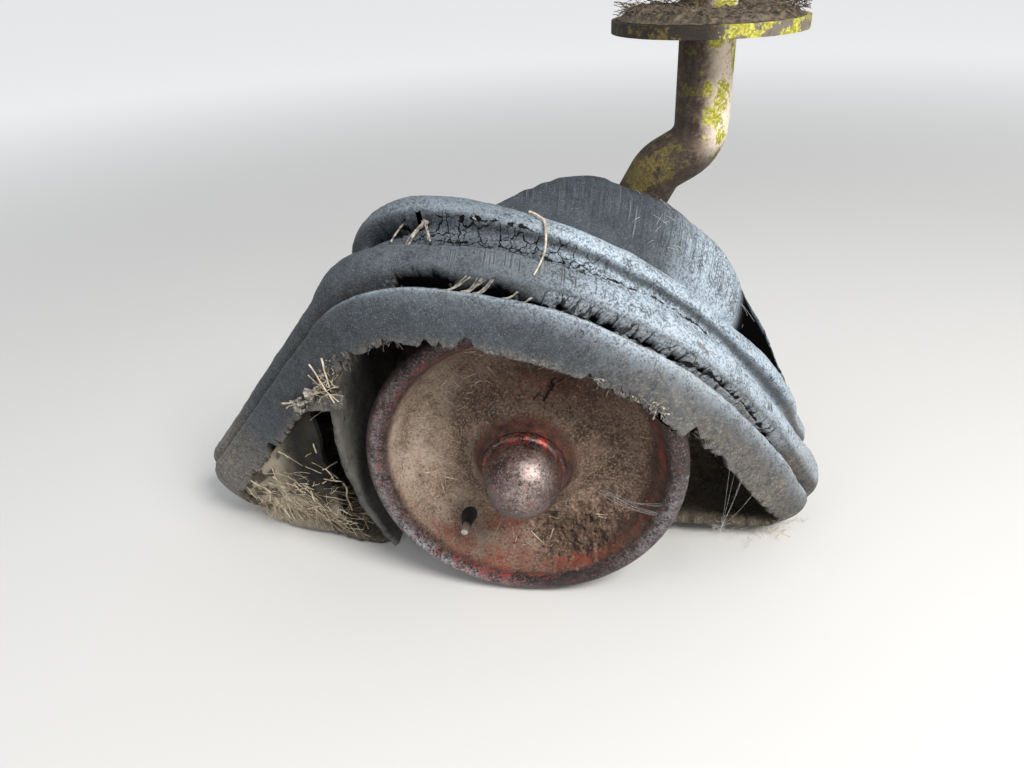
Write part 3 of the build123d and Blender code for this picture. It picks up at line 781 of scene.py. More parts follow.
# holes, and none but clean room under the wheel
field = hole_field(S, Q)
flat = stand(S, worn_q, worn_n)
off_axis = np.hypot(flat[..., 0], flat[..., 2])
under_wheel = (flat[..., 2] < -80) & (flat[..., 1] > -8) & (flat[..., 1] < 71)
field = np.where(under_wheel, np.minimum(field, 1.0 + (off_axis - 120.4) / 6), field)
sink = fall(field, 1.5, 0.35) * OUT
inner_height = np.interp(Q, inner_line[::-1, 0], inner_line[::-1, 1])
worn_n = worn_n * (1 - sink) + (inner_height + 0.2) * sink
tread = stand(S, worn_q, worn_n)
tread = np.where(
    OUT[..., None], keep_clear(tread, *CLEAR_OUTSIDE), keep_clear(tread, *CLEAR_INSIDE))
tread[..., 2] = np.maximum(tread[..., 2], LOWEST)
# painted shade: rubber sunk into the holes is darkened
marks[2] = np.maximum(marks[2], sink * 0.9)
# painted light: the steep wall of the front groove is kept pale, though it faces away from the
# light
groove_wall = between(Q, 42.6, 1.2, 48, 1.5) * between(S, 382, 20, 650, 30)
marks[3] = np.maximum(marks[3] * lit(stand(S, Q, N)), 0.62 * groove_wall) * OUT
quads = grid_faces(STATIONS, len(section), close_rows=True, close_cols=True)
quads = quads[field.ravel()[quads].mean(axis=1) > 1.0]
casing = piece(
    "tyre_tread", tread, quads[:, ::-1], [RUBBER, INSIDE], "leg", marks=marks, uv=grid(S, Q),
    which=(quads % len(section) >= OUTER_POINTS).any(axis=1), paths=paths,
)
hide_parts("tyre_casing")

# far sidewall: heading of the loop, reach and belly
SKIRT = np.array([
    (-12, 118, 0), (-18, 142, 4), (-25, 160, 8), (-32, 169, 14), (-42, 172, 22), (-52, 168, 22),
    (-56, 162, 20), (-60, 153, 15), (-64, 144, 9),
], float)
SKIRT_ENDS, SKIRT_ROWS = (-10.5, -64), 190


def heading_distance(heading):
    """Distance along the loop at which it reaches a heading of its crown or flank."""
    start = 0.0
    for _, head, radius, length in LOOP[:6]:
        turn = math.degrees(length / radius) if radius else 0.0
        if radius and head >= heading >= head - turn:
            return start + radius * math.radians(head - heading)
        start += length
    raise ValueError(heading)


def skirt_section(reach, belly):
    back = reach - 108
    outline = [
        (106, -4.5), (108 + 0.25 * back, -4.5 + 0.4 * belly),
        (108 + 0.5 * back, -6.5 + 0.72 * belly), (108 + 0.8 * back, -9 + belly),
        (reach - 1, -15 + belly), (reach + 4, -27 + 0.7 * belly), (reach + 3.5, -42),
        (reach - 1.5, -44), (reach - 3, -28 + 0.7 * belly), (reach - 7, -19 + belly),
        (108 + 0.75 * back, -14 + belly), (108 + 0.4 * back, -12 + 0.6 * belly), (104, -12),
    ]
    return resample(chaikin(outline, 2, closed=True), 72, closed=True)


headings = np.linspace(*SKIRT_ENDS, SKIRT_ROWS)
skirt_s = np.array([heading_distance(h) for h in headings])
knots = np.linspace(*SKIRT_ENDS, 54)
table = np.stack([np.interp(-knots, -SKIRT[:, 0], SKIRT[:, k]) for k in (1, 2)], axis=1)
for _ in range(3):
    table[1:-1] = (table[:-2] + 2 * table[1:-1] + table[2:]) / 4
reach = np.interp(-headings, -knots, table[:, 0]) + wander(41, 6, skirt_s)
belly = np.interp(-headings, -knots, table[:, 1]) + 0.8 * wander(42, 24, skirt_s)
skirt_q, skirt_n = np.moveaxis([skirt_section(a, b) for a, b in zip(reach, belly)], -1, 0)
rows, cols = skirt_q.shape
skirt_along = np.broadcast_to(skirt_s[:, None], skirt_q.shape)
skirt_points = keep_clear(stand(skirt_along, skirt_q, skirt_n), *CLEAR_SKIRT)
# bloom with painted light where the sidewall faces the light, mostly towards its low end
bloom_and_sheen = lit(skirt_points) * (0.02 + rise(-headings, 38, 14))[:, None]
# a dented pocket at its low end, painted black as shade
pocket = rise(-headings, 56.0, 0.8)[:, None] * rise(skirt_q, 110, 4)
pocket = pocket * fall(skirt_q, reach[:, None] - 3.5, 2.5)
skirt_points += (pocket * (skirt_n > -30))[..., None] * (0.0, 7.0, -9.0)
skirt_faces = [face[::-1] for face in capped_faces(rows, cols)]
skirt = piece(
    "tyre_far_sidewall", skirt_points, skirt_faces, [RUBBER, INSIDE], "leg",
    marks=(0, 0.03, pocket, bloom_and_sheen * (1 - pocket)), uv=grid(skirt_along, skirt_q),
    which=[face[-1] % cols > cols * 0.52 for face in skirt_faces[:-2]] + [1, 1],
    paths=(NO_PATH, NO_PATH, NO_PATH, 0.16),
)


def thick_sheet(name, front, back, thickness, away, material, seed, across=14, steps=90,
                rough=1.0, dust=(0.5,), torn=1.0, shade=0.0):
    """A rubber sheet between two edge lines, thick towards away, or away from the axle."""
    a, b = resample(chaikin(front, 3), steps), resample(chaikin(back, 3), steps)
    t = np.linspace(0, 1, across)
    top = blend(a, b, t)
    walk = np.linspace(0, 200, steps)[:, None]
    lift = wander(seed, 17, walk + 60 * t) + 0.5 * wander(seed + 1, 6, walk - 90 * t)
    ragged = 1.6 * wander(seed + 2, 5, walk) + wander(seed + 3, 2.2, walk)
    top[:, 0] += unit(a - b) * torn * ragged
    away = unit(a * (1, 0, 1))[:, None] if away is None else np.array(away)
    top = top - rough * lift[..., None] * away
    ring = there_and_back(top, top + away * thickness)
    rows, cols = ring.shape[:2]
    # painted shade, darker towards the sheet's back edge
    fade = shade * rise(t, 0.5, 0.5)
    fade = np.concatenate([fade, fade[::-1]])
    return piece(
        name, ring, capped_faces(rows, cols), [material], "leg",
        marks=(0, np.interp(walk, np.linspace(0, 200, len(dust)), dust), fade),
        uv=grid(walk, np.linspace(0, 80, cols)),
    )


# web of the far sidewall with its bead hole
WEB_Q, WEB_T, BEAD_R, BEAD = 113.0, 4.5, 101.5, np.array([0.0, -45.0])
web_s = np.linspace(0, LOOP_LENGTH, 420, endpoint=False)
loop_points, loop_heading, loop_flare = loop_at(web_s)
height = -9 - loop_flare * (WEB_Q - FLARE_PIVOT)
rim_line = loop_points + outward(loop_heading) * height[:, None]
bead_radius = BEAD_R + 0.8 * wander(61, 14, web_s) + 0.5 * wander(62, 4, web_s)
bead_line = BEAD + unit(rim_line - BEAD) * bead_radius[:, None]
t = np.linspace(0, 1, 34)[None, :]
flat = blend(rim_line, bead_line, t)
span = np.linalg.norm(rim_line - bead_line, axis=1)[:, None]
fold = 1.2 * wander(63, 16, web_s)[:, None] * t + 0.5 * wander(64, 6, web_s[:, None] + 12 * t)
across = WEB_Q + 3.0 * np.sin(math.pi * t) * np.clip(span / 60, 0, 1) + fold
web_faces = grid_faces(len(web_s), t.shape[1], close_rows=True)
x, u = np.moveaxis(flat.reshape(-1, 2)[web_faces].mean(axis=1), -1, 0)
gone = (x > -15 + 4 * wander(65, 9, u)) & (u > -20 + 5 * wander(66, 8, x))
web = piece(
    "tyre_web", keep_clear(leaned(flat[..., 0], across, flat[..., 1]), *CLEAR_WEB),
    web_faces[~gone], [RUBBER, INSIDE], "leg", marks=(0, 0.12),
    uv=grid(web_s[:, None], t * span + 120),
)
shell = web.modifiers.new("thickness", "SOLIDIFY")
shell.thickness = WEB_T * MM
shell.offset = -1.0
shell.material_offset = 1
shell.material_offset_rim = 1

# wall of the near sidewall left of the rim: front edge, depth and spread of the rear edge
NEAR_WALL = np.array([
    (-80, -32, 118, 62, 4), (-104, -22, 101, 58, 4), (-122, -8, 62, 48, 0), (-127, -2, 20, 46, -3),
    (-126, 8, -22, 40, -3), (-120, 20, -64, 36, 0), (-108, 32, -98, 32, 3),
], float)
front_line, depth, spread = NEAR_WALL[:, :3], NEAR_WALL[:, 3:4] + 28, NEAR_WALL[:, 4:]
rear_line = front_line + unit(front_line * (1, 0, 1)) * spread + depth * (0.0, 1.0, 0.0)
wall = thick_sheet(
    "tyre_near_wall", front_line, rear_line, 5.0, None, WALL, 71, across=26, steps=150,
    rough=0.8, dust=(0.8, 0.75, 0.5, 0.34, 0.26, 0.22, 0.2), shade=0.66, torn=0.4,
)

# foot of the near sidewall on the ground, and the wall folded in above it
foot = thick_sheet(
    "tyre_foot",
    [(-262, 98, -101), (-250, 88, -103), (-221, 73, -104), (-180, 57, -106), (-139, 46, -107),
     (-122, 50, -107)],
    [(-252, 118, -96), (-236, 124, -94), (-205, 122, -93), (-170, 116, -93), (-142, 112, -96),
     (-124, 108, -100)],
    6.5, (0.0, 0.06, -1.0), INSIDE, 81, across=30, steps=160,
    rough=1.6, dust=(0.7, 0.8, 0.8, 0.7, 0.5), torn=0.35,
)

FOLD_STEPS, FOLD_ROWS = 90, 60
fold_top = stand(
    np.linspace(-14, 172, FOLD_STEPS), np.full(FOLD_STEPS, 20.0), np.full(FOLD_STEPS, -25.5))
fold_foot = resample(chaikin([
    (-266, 100, -92), (-258, 93, -104), (-240, 86, -110), (-214, 78, -110.5), (-188, 68, -110.5),
    (-160, 58, -110),
], 3), FOLD_STEPS)
v = np.linspace(0, 1, FOLD_ROWS)[None, :]
along_t = np.linspace(0, 1, FOLD_STEPS)[:, None]
bulge = np.sin(math.pi * v)
fold_front = blend(fold_top, fold_foot, v)
dents = 1.6 * grain(131, 15, along_t * 150, v * 90) + 0.8 * grain(132, 5, along_t * 150, v * 90)
belly = bulge * (13 * smooth(along_t / 0.25) * (1 - 0.45 * along_t) + dents)
fold_front = fold_front + np.array([0.25, -0.85, 0.1]) * belly[..., None]
end_wave = 2.5 * wander(133, 3, np.arange(FOLD_ROWS)) * bulge[0]
fold_front[-1] += np.array([1.0, 0.3, 0]) * end_wave[:, None]
ring = there_and_back(fold_front, fold_front + (0, 5.0, -0.5))
ring[..., 2] = np.maximum(ring[..., 2], FOLD_LOWEST)
down = np.concatenate([v, v[:, ::-1]], axis=1)
# the dust mark is heavy at the left and thins over the right half; painted shade darkens the right
# half, with dark patches all over
dust = 1.1 - 1.05 * rise(along_t, 0.42, 0.5) * fall(down, 0.95, 0.4)
dust = dust + 0.3 * grain(134, 12, along_t * 150, down * 90)
patches = 0.75 * smooth(2.2 * grain(135, 8, along_t * 150, down * 90) - 0.15)
fold = piece(
    "tyre_folded_wall", ring, capped_faces(*ring.shape[:2]), [DUSTY], "leg",
    marks=(0, dust, np.maximum(0.8 * rise(along_t, 0.5, 0.3) * fall(down, 0.85, 0.4), patches)),
)

# rounded roll along the lower left, where the folded wall turns under
ROLL_STEPS, ROLL_SIDES, UP = 120, 26, np.array([0.0, 0.0, 1.0])
roll_line = resample(chaikin([
    (-258, 94, -99), (-251, 87, -103), (-236, 79, -105), (-214, 70, -105.5), (-190, 61, -106),
    (-172, 55, -106.5),
], 3), ROLL_STEPS)
radius = 7.0 * np.sqrt(np.clip(np.sin(np.linspace(0.06, 3.08, ROLL_STEPS)), 0, 1)) + 0.4
side = np.cross(unit(np.gradient(roll_line, axis=0)), UP)[:, None]
turn = circle(ROLL_SIDES)
swell = 1 + 0.12 * wander(141, 5, np.arange(ROLL_STEPS)[:, None] * 0.8 + 9 * turn)
ring = side * np.cos(turn)[:, None] + UP * np.sin(turn)[:, None]
ring = roll_line[:, None] + ring * (radius[:, None] * swell)[..., None]
ring[..., 2] = np.maximum(ring[..., 2], ROLL_LOWEST)
roll = piece(
    "tyre_roll", ring, capped_faces(ROLL_STEPS, ROLL_SIDES), [DUSTY], "leg", marks=(0, 0.75),
)

# torn flap on the left slope's edge
flap = thick_sheet(
    "tyre_flap", [(-150, -3, 56), (-138, -8, 62), (-126, -12, 66), (-113, -17, 72)],
    [(-153, -3, 51), (-140, -8, 50), (-127, -13, 54), (-115, -15, 57)],
    3.0, (0.1, 0.9, 0.3), RUBBER, 91, across=10, steps=30, rough=0.8, dust=(0.9, 0.6),
)

# straw and hay
hay = np.random.RandomState(7)


def on_casing(s, q, lift):
    height = np.interp(q, outer_line[:, 0], outer_line[:, 1]) + lift
    return stand(*np.array([s, q, height], float)[:, None])[0]


def strand(start, end, wild=0.12, radius=0.45, knots=6):
    start, end = np.asarray(start, float), np.asarray(end, float)
    t = np.linspace(0, 1, knots)[:, None]
    line = start * (1 - t) + end * t
    line[1:-1] += hay.normal(0, np.linalg.norm(end - start) * wild, (knots - 2, 3))
    line[:, 2] = np.maximum(line[:, 2], radius + STRAND_LOWEST)
    return line, radius


def bent(start, end, moved, radius):
    """A run from start to end with its middle moved."""
    return [start, (start + end) / 2 + moved, end], radius


def groove_straw(run, radius):
    """Straw lying in a groove, from points (along, across, height)."""
    return stand(*np.array(run, float).T), radius


straws = [
    groove_straw([(381, 108, 4.4), (385, 105, 6.6), (389.5, 101, 8.0)], 1.0),
    groove_straw([
        (389.5, 101, 8.0), (391, 92, 8.8), (391.5, 80, 9.6), (390, 68, 12.6), (387.5, 58, 12.8),
        (385.5, 52, 11.6)], 0.85),
]
for start, end, radius, wild in (
    ((-130, -22, 94), (-116, -27, 69), 0.6, 0.01), ((-119, -27, 101), (-119, -23, 78), 0.75, 0.015),
    ((-134, -18, 84), (-114, -24, 68), 0.45, 0.01), ((-139, -14, 66), (-113, -22, 78), 0.5, 0.01),
    ((-141, -13, 70), (-110, -24, 72), 0.4, 0.015), ((-166, 2, 50), (-147, -10, 60), 0.8, 0.02),
    ((-163, 1, 47), (-150, -8, 57), 0.6, 0.02), ((-164, 6, 44), (-155, 14, 18), 0.45, 0.02),
    ((-150, 40, -46), (-152, 52, -84), 1.1, 0.02),
):
    straws.append(strand(start, end, wild, radius))
fibres, flakes, cords, torn_places, torn_sizes = [], [], [], [], []
# frayed cords across the holes: points (along, across, height), and spread
for *run, spread in (
    ((337, 40.8, -1.2), (342, 43.2, -2.4), (350, 46.2, 7.0), 0.9),
    ((348, 40.8, -1.2), (352, 43.4, -1.8), (358.5, 46, 6.6), 1.3),
    ((355, 40.8, -1.2), (359, 43.4, -1.4), (364.5, 46.2, 7.0), 1.2),
    ((372, 41, -1.2), (375, 43, -3), (379, 45, 2.6), 0.9),
    ((383, 41, -1.2), (385, 43, -3.6), (388, 44.8, 0.6), 0.8),
    ((311, 73, 1.5), (315, 80, 4.0), (321, 89.5, 4.4), 1.5),
    ((324, 76, 1.5), (322, 82, 4.6), (320, 89.5, 5.0), 1.1),
    ((341, 93, 6.0), (344, 94.5, 6.6), (349, 92.5, 6.2), 1.6),
    ((343, 95, 6.2), (345, 93, 6.4), (348, 95.5, 6.8), 1.3),
    ((300, 78, 0.5), (303, 83, 2.5), (306, 88, 3.4), 0.6),
):
    for _ in range(int(7 * spread)):
        loose = np.array(run, float) + hay.normal(0, 0.34 * spread, (3, 3)) * (1.6, 0.7, 1.0)
        loose[-1, 0] += hay.normal(0, 0.8)
        cords.append(groove_straw(loose, 0.24 + 0.34 * hay.rand()))
EDGE_TUFT = np.array([
    (-101, -23, 113), (-107, -22, 106), (-115, -20, 96), (-123, -16, 84), (-133, -12, 72),
    (-147, -7, 57), (-154, -3, 51),
], float)
for _ in range(230):
    u = 6 * hay.beta(1.3, 1.3)
    spot = np.stack([np.interp(u, np.arange(7), EDGE_TUFT[:, a]) for a in range(3)])
    torn_sizes.append(0.5 + 2.2 * hay.rand() ** 2.5)
    torn_places.append(spot + hay.normal(0, 2.1, 3) * (1, 0.5, 1) - (0, 2.4, 0))
for _ in range(40):
    u = hay.rand()
    base = (-133, -18, 66) + u * np.array([20, -8, 26]) + hay.normal(0, 2.6, 3) * (1, 0.5, 1)
    tip = base + hay.normal(0, 3.4, 3) * (1, 0.5, 1)
    fibres.append(strand(base, tip, 0.07, 0.13 + 0.26 * hay.rand() ** 3, 5))
# crumbs along the torn edge: count, where along, across, lift, mean and spread of the reach,
# waviness and radius
for count, (first, length), (q, q_more), lift, mean, spread, wild, (radius, more) in (
    (24, (205, 50), (20, 3), -1.0, (3, -2, -4), (3, 2, 3), 0.12, (0.7, 1.0)),
    (150, (250, 330), (19, 3), -1.0, (0, -1.5, -2.2), (1.6, 1, 1.8), 0.08, (0.14, 0.2)),
    (34, (440, 120), (20, 2), -0.6, (0, -2, -3), (2, 1, 2), 0.1, (0.4, 0.6)),
):
    for _ in range(count):
        base = on_casing(first + length * hay.rand(), q + q_more * hay.rand(), lift)
        tip = base + hay.normal(mean, spread)
        flakes.append(strand(base, tip, wild, radius + more * hay.rand(), 4))
for where, spread in (
    (446, 1.0), (478, 1.5), (493, 1.4), (501, 2.2), (507, 1.8), (470, 0.8), (521, 1.0),
):
    for _ in range(int(6 * spread)):
        base = on_casing(where + hay.normal(0, 1.5), 20, -0.5)
        out = hay.normal(0, 1, 3) * (2.2, 0.8, 1.2) * spread + (1.2, -2.0, -1.0)
        cords.append(strand(base, base + out, 0.14, 0.2 + 0.4 * hay.rand() ** 2, 4))
        torn_places.append(base + 0.6 * out)
        torn_sizes.append(0.4 + 0.7 * spread * hay.rand() ** 1.5)
# hay on the foot, on the folded wall and at the right end
for _ in range(300):
    u, w = hay.rand(), hay.rand() ** 0.8
    base = np.array([-238 + 96 * u, 58 + 34 * w + 24 * (1 - u), -99 + 4 * hay.rand()])
    way = hay.normal(-0.25, 0.7)
    long = hay.uniform(8, 40)
    tip = base + long * np.array([math.cos(way), 0.7 * math.sin(way), hay.normal(0.05, 0.16)])
    tip = np.clip(tip, (-999, -999, -101), (-128, 999, 999))
    fibres.append(strand(base, tip, 0.03, 0.14 + 0.6 * hay.rand() ** 4, 5))
for _ in range(480):
    row = int(np.clip(hay.normal(52, 24), 2, 88))
    col = int(np.clip(FOLD_ROWS * (1 - abs(hay.normal(0, 0.34))), 3, FOLD_ROWS - 2))
    base = fold_front[row, col] + (0.3, -1.4, 0.6)
    way = hay.normal(-0.35, 1.1)
    long = hay.uniform(5, 34) * (0.5 + 0.5 * hay.rand())
    tip = base + long * np.array([math.cos(way), -0.12 - 0.15 * math.cos(way), math.sin(way)])
    tip[2] = max(tip[2], -110)
    fibres.append(strand(base, tip, 0.03, 0.12 + 0.55 * hay.rand() ** 4, 5))
for _ in range(46):
    base = (150, 70, -112) + hay.rand(3) * (50, 24, 4)
    out = hay.normal((0, 0, 2), (12, 8, 3))
    out[2] = abs(out[2])
    fibres.append(strand(base, base + out, 0.08, 0.16 + 0.14 * hay.rand()))
tubes("straw_on_tyre", straws + fibres[:40], STRAW, "leg")
tubes("hay_in_casing", fibres[40:], STRAW, "leg", sides=4)
tubes("frayed_cord", cords, CORD, "leg", taper=0.7)
tubes("rubber_crumbs", flakes, CRUMB, "leg", sides=6, taper=0.35)
# bright worn end of a wire in the middle rib
wire = groove_straw([(501, 55.5, 10.0), (506, 54, 10.4), (512, 53, 9.8)], 2.1)
tubes("worn_wire_end", [wire], BRIGHT, "leg", sides=14, taper=0.8)

# cobweb threads over the raised sidewall and in the mouth of the casing on the right
threads = []
for _ in range(90):
    row = int(np.clip(hay.normal(138, 24), 96, 186))
    col = hay.randint(4, 30)
    base = skirt_points[row, col]
    row, col = row + hay.randint(-7, 8), col + hay.randint(-5, 6)
    tip = skirt_points[np.clip(row, 0, SKIRT_ROWS - 1), np.clip(col, 3, 34)]
    lift = np.array([0.25, 0.0, 0.85]) * 0.7
    threads.append(bent(base + lift, tip + lift, 0.8 * lift, 0.10))
knot = np.array([142.0, 24.0, -62.0])
for _ in range(11):
    way = hay.uniform(0, 2 * math.pi)
    threads.append(([knot, knot + 7 * np.array([math.cos(way), 0.3, math.sin(way)])], 0.08))
for _ in range(10):
    start = (70, -6, -54) + hay.rand(3) * (26, 3, -14)
    threads.append(([start + (48, 10, 2), (start + knot) / 2 + (30, 6, -2), knot], 0.06))
for _ in range(6):
    end = on_casing(596 + 60 * hay.rand(), 20, -1)
    threads.append(bent(knot, end, (0, 0, -3), 0.06))
tubes("cobweb_threads", threads, WEB, "leg", sides=3, taper=1.0)

# hay debris heaped on the round plate, round the spigot
SPIGOT, PLATE_TOP = HOME[:2], HOME[2]
R, T = np.broadcast_arrays(np.linspace(19.5, 62, 26)[None, :], circle(140)[:, None])
heap = 7.5 * between(R, 18, 6, 62, 12) * (0.75 + 0.3 * wander(95, 8, T * 38 + R))
heap = heap + 1.6 * wander(96, 3, T * 40 - R * 2) * fall(R, 62, 8)
top = HOME + np.stack([R * np.cos(T), R * np.sin(T), 0.3 + np.maximum(heap, 0.3)], axis=-1)
under = top.copy()
under[..., 2] = PLATE_TOP + 0.1
ring = there_and_back(top, under)
piece("hay_debris_mat", ring, grid_faces(140, ring.shape[1], True, True), [FIBRE], "leg")
strands = []
for _ in range(420):
    turn, r = hay.uniform(0, 2 * math.pi), 22 + 38 * math.sqrt(hay.rand())
    base = HOME + (r * math.cos(turn), r * math.sin(turn), 3 + 5 * hay.rand())
    way = hay.uniform(0, 2 * math.pi)
    long = hay.uniform(6, 22)
    tip = base + long * np.array([math.cos(way), math.sin(way), hay.normal(0.05, 0.2)])
    off = tip[:2] - SPIGOT
    far = np.linalg.norm(off)
    tip[:2] = SPIGOT + off * min(1.0, 64 / far) * max(1.0, 21 / far)
    tip[2] = max(tip[2], PLATE_TOP + 1)
    strands.append(strand(base, tip, 0.1, 0.2 + 0.3 * hay.rand() ** 2, 4))
tubes("hay_on_plate", strands, FIBRE, "leg", sides=4)


# rim and cap
def lathe_points(profile, segments):
    turn = circle(segments)[:, None]
    r, y = profile[:, 0], profile[:, 1]
    return np.stack(np.broadcast_arrays(np.cos(turn) * r, y, np.sin(turn) * r), axis=-1)


RIM_FRONT = [
    (28.05, 5), (31, 5), (37, 15), (45, 23.5), (55, 29.5), (66, 32), (76, 30.5), (84, 26), (91, 19),
    (96, 9), (99.5, 3.2), (103, 0.2), (108, -0.6), (112, 2), (114, 7), (112.6, 12), (108, 14.2),
    (102, 12.6), (99.5, 19), (93.5, 26.5), (86, 31), (77, 35.5), (72, 37.9), (61, 37.9),
    (46, 31.5), (36, 21.5), (28.05, 13),
]
RIM_BACK = [
    (28.05, 38.1), (74, 38.1), (88, 42), (97, 46), (101.2, 51.5), (107, 50.2), (112, 52),
    (114, 57.5), (112, 62.5), (108, 64), (103, 63.2), (98.5, 60), (96, 53), (87, 46), (74, 41),
    (28.05, 41),
]
SEGMENTS = 420
front_profile = resample(chaikin(RIM_FRONT, 2, closed=True), 150, closed=True)
front_points = lathe_points(front_profile, SEGMENTS)
T = np.broadcast_to(circle(SEGMENTS)[:, None], front_points.shape[:2])
R = np.broadcast_to(front_profile[:, 0], T.shape)
toward = np.degrees(T)  # 0 to the right, 90 up
# the dished face, from the hub to the lip
ends = [np.argmin(np.hypot(*(front_profile - near).T)) for near in ((31, 5), (113, 5))]
facing = np.arange(min(ends), max(ends))
on_front = np.isin(np.arange(len(front_profile)), facing)
bowl = on_front * between(R, 33, 6, 100, 5)
heap = bell(toward, 300, 24) * between(R, 52, 14, 104, 8)
spread = bell(toward, 250, 46) * rise(R, 62, 22)
x, _, z = np.moveaxis(front_points, -1, 0)
clod = grain(51, 5.5, x, z) + 0.6 * grain(52, 2.6, x, z)
lift = 7.0 * heap + 1.6 * spread + clod * (0.3 + 3.2 * heap) + 0.3 * wander(54, 14, T * R)
front_points[..., 1] -= bowl * lift
front_points[..., 1] += 0.25 * (1 - bowl) * wander(55, 22, T * R) * rise(R, 96, 6)

red = 0.36 * fall(R, 42, 8) + 0.45 * bell(R, 94.5, 2.4) + 0.05
low_band = 0.6 * rise(R, 60, 14) * bell(toward, 254, 27)
red = red + low_band + 0.95 * bell(R, 92, 6) * bell(toward, 264, 32)
red = red + 0.34 * between(R, 40, 8, 66, 10) * bell(toward, 96, 36)
red = np.clip(red, 0, 1) * (1 - 0.95 * heap * (R < 90))
lip_red = 0.4 * bell(toward, 258, 34) * fall(R, 104, 3) + 0.2 * bell(toward, 180, 40)
lip_red = lip_red + 0.6 * bell(toward, 125, 26) * fall(R, 107, 3)
# dirt is thin near the hub and over the red; at the upper right and along the right edge it is
# taken away as painted shadow of the casing, so the dark rust shows
painted_shadow = bell(toward, 68, 48) * rise(R, 44, 22)
sector = np.cos(T - 0.1) > math.cos(math.radians(62))
painted_shadow = np.maximum(painted_shadow, sector * rise(R, 84, 8))
dirt = 0.96 * bowl * (1 - 0.3 * fall(R, 42, 8) - 0.3 * low_band)
dirt = dirt * (1 - 0.55 * heap * smooth(-clod * 2.2)) * (1 - 0.85 * painted_shadow)
# pale dust over the left of the bowl, laid where the light falls: partly dust, partly painted light
pale = np.maximum(bell(toward, 168, 42), 0.62 * bell(toward, 232, 40))
pale = bowl * pale * rise(R, 50, 28) * (1 - 0.8 * heap)
lip_face = rise(R, 98, 2) * (front_points[..., 1] < 7)
# painted highlight along the lip's crown and its outer edge
sheen = 0.2 * bell(toward, 165, 30) + 0.8 * bell(toward, 232, 34) + 0.4 * bell(toward, 335, 26)
sheen = bell(R, 106.5, 3.6) * sheen
edge_highlight = bell(R, 112.8, 1.0) * (0.4 + 0.4 * wander(56, 9, T * R)) * rise(toward, 170, 30)
# painted shade on the lip, darkest at the bottom
lip_shade = 0.9 * bell(toward, 287, 24) + 0.4 * bell(toward, 140, 40) * rise(R, 109, 3)
rim_front = piece(
    "rim_front_half", front_points, grid_faces(SEGMENTS, len(front_profile), True, True), [RIM],
    "wheel", uv=grid(np.mod(T - math.pi / 2, 2 * math.pi) * R, R), marks=(
        np.maximum(red, lip_red * rise(R, 98, 2)), np.maximum(dirt, lip_face * lip_shade),
        rise(R, 97.5, 2.5), np.maximum(pale, lip_face * (sheen + edge_highlight)),
    ),
)
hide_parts("rim_front")

back_profile = resample(chaikin(RIM_BACK, 2, closed=True), 72, closed=True)
back_points = lathe_points(back_profile, SEGMENTS)
rim_back = piece(
    "rim_back_half", back_points, grid_faces(SEGMENTS, len(back_profile), True, True), [RIM],
    "wheel", marks=(0.45, 0.35, rise(back_profile[:, 0], 104, 4)),
)
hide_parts("rim_back")


def on_bowl(angle, radius, lift=0.0):
    """Place on the front half's dished face, lifted towards its front."""
    row = int(round(angle / 360 * SEGMENTS)) % SEGMENTS
    col = facing[np.argmin(np.abs(front_profile[facing, 0] - radius))]
    return front_points[row, col] - (0.0, lift, 0.0)


def lumps(name, places, sizes, material, body, seed, rough=0.3):
    """Irregular clods of dirt as one piece."""
    g = (1 + 5 ** 0.5) / 2
    ball = np.array([
        (-1, g, 0), (1, g, 0), (-1, -g, 0), (1, -g, 0), (0, -1, g), (0, 1, g),
        (0, -1, -g), (0, 1, -g), (g, 0, -1), (g, 0, 1), (-g, 0, -1), (-g, 0, 1),
    ], float) / math.hypot(1, g)
    faces = np.array([
        (0, 11, 5), (0, 5, 1), (0, 1, 7), (0, 7, 10), (0, 10, 11), (1, 5, 9), (5, 11, 4),
        (11, 10, 2), (10, 7, 6), (7, 1, 8), (3, 9, 4), (3, 4, 2), (3, 2, 6), (3, 6, 8),
        (3, 8, 9), (4, 9, 5), (2, 4, 11), (6, 2, 10), (8, 6, 7), (9, 8, 1),
    ])
    roll = np.random.RandomState(seed)
    points, made = [], []
    for k, (place, size) in enumerate(zip(places, sizes)):
        turn = np.linalg.qr(roll.normal(size=(3, 3)))[0]
        if np.linalg.det(turn) < 0:
            turn[:, 0] *= -1
        stretch = size * roll.uniform(0.55, 1.15, 3)
        shape = ball * (1 + rough * roll.uniform(-1, 1, (12, 1))) * stretch
        points.append(shape @ turn.T + place)
        made.append(faces + 12 * k)
    return piece(name, np.vstack(points), np.vstack(made), [material], body, smoothed=False)


lumps("torn_cord_tuft", torn_places, torn_sizes, CORD, "leg", 26, rough=0.5)

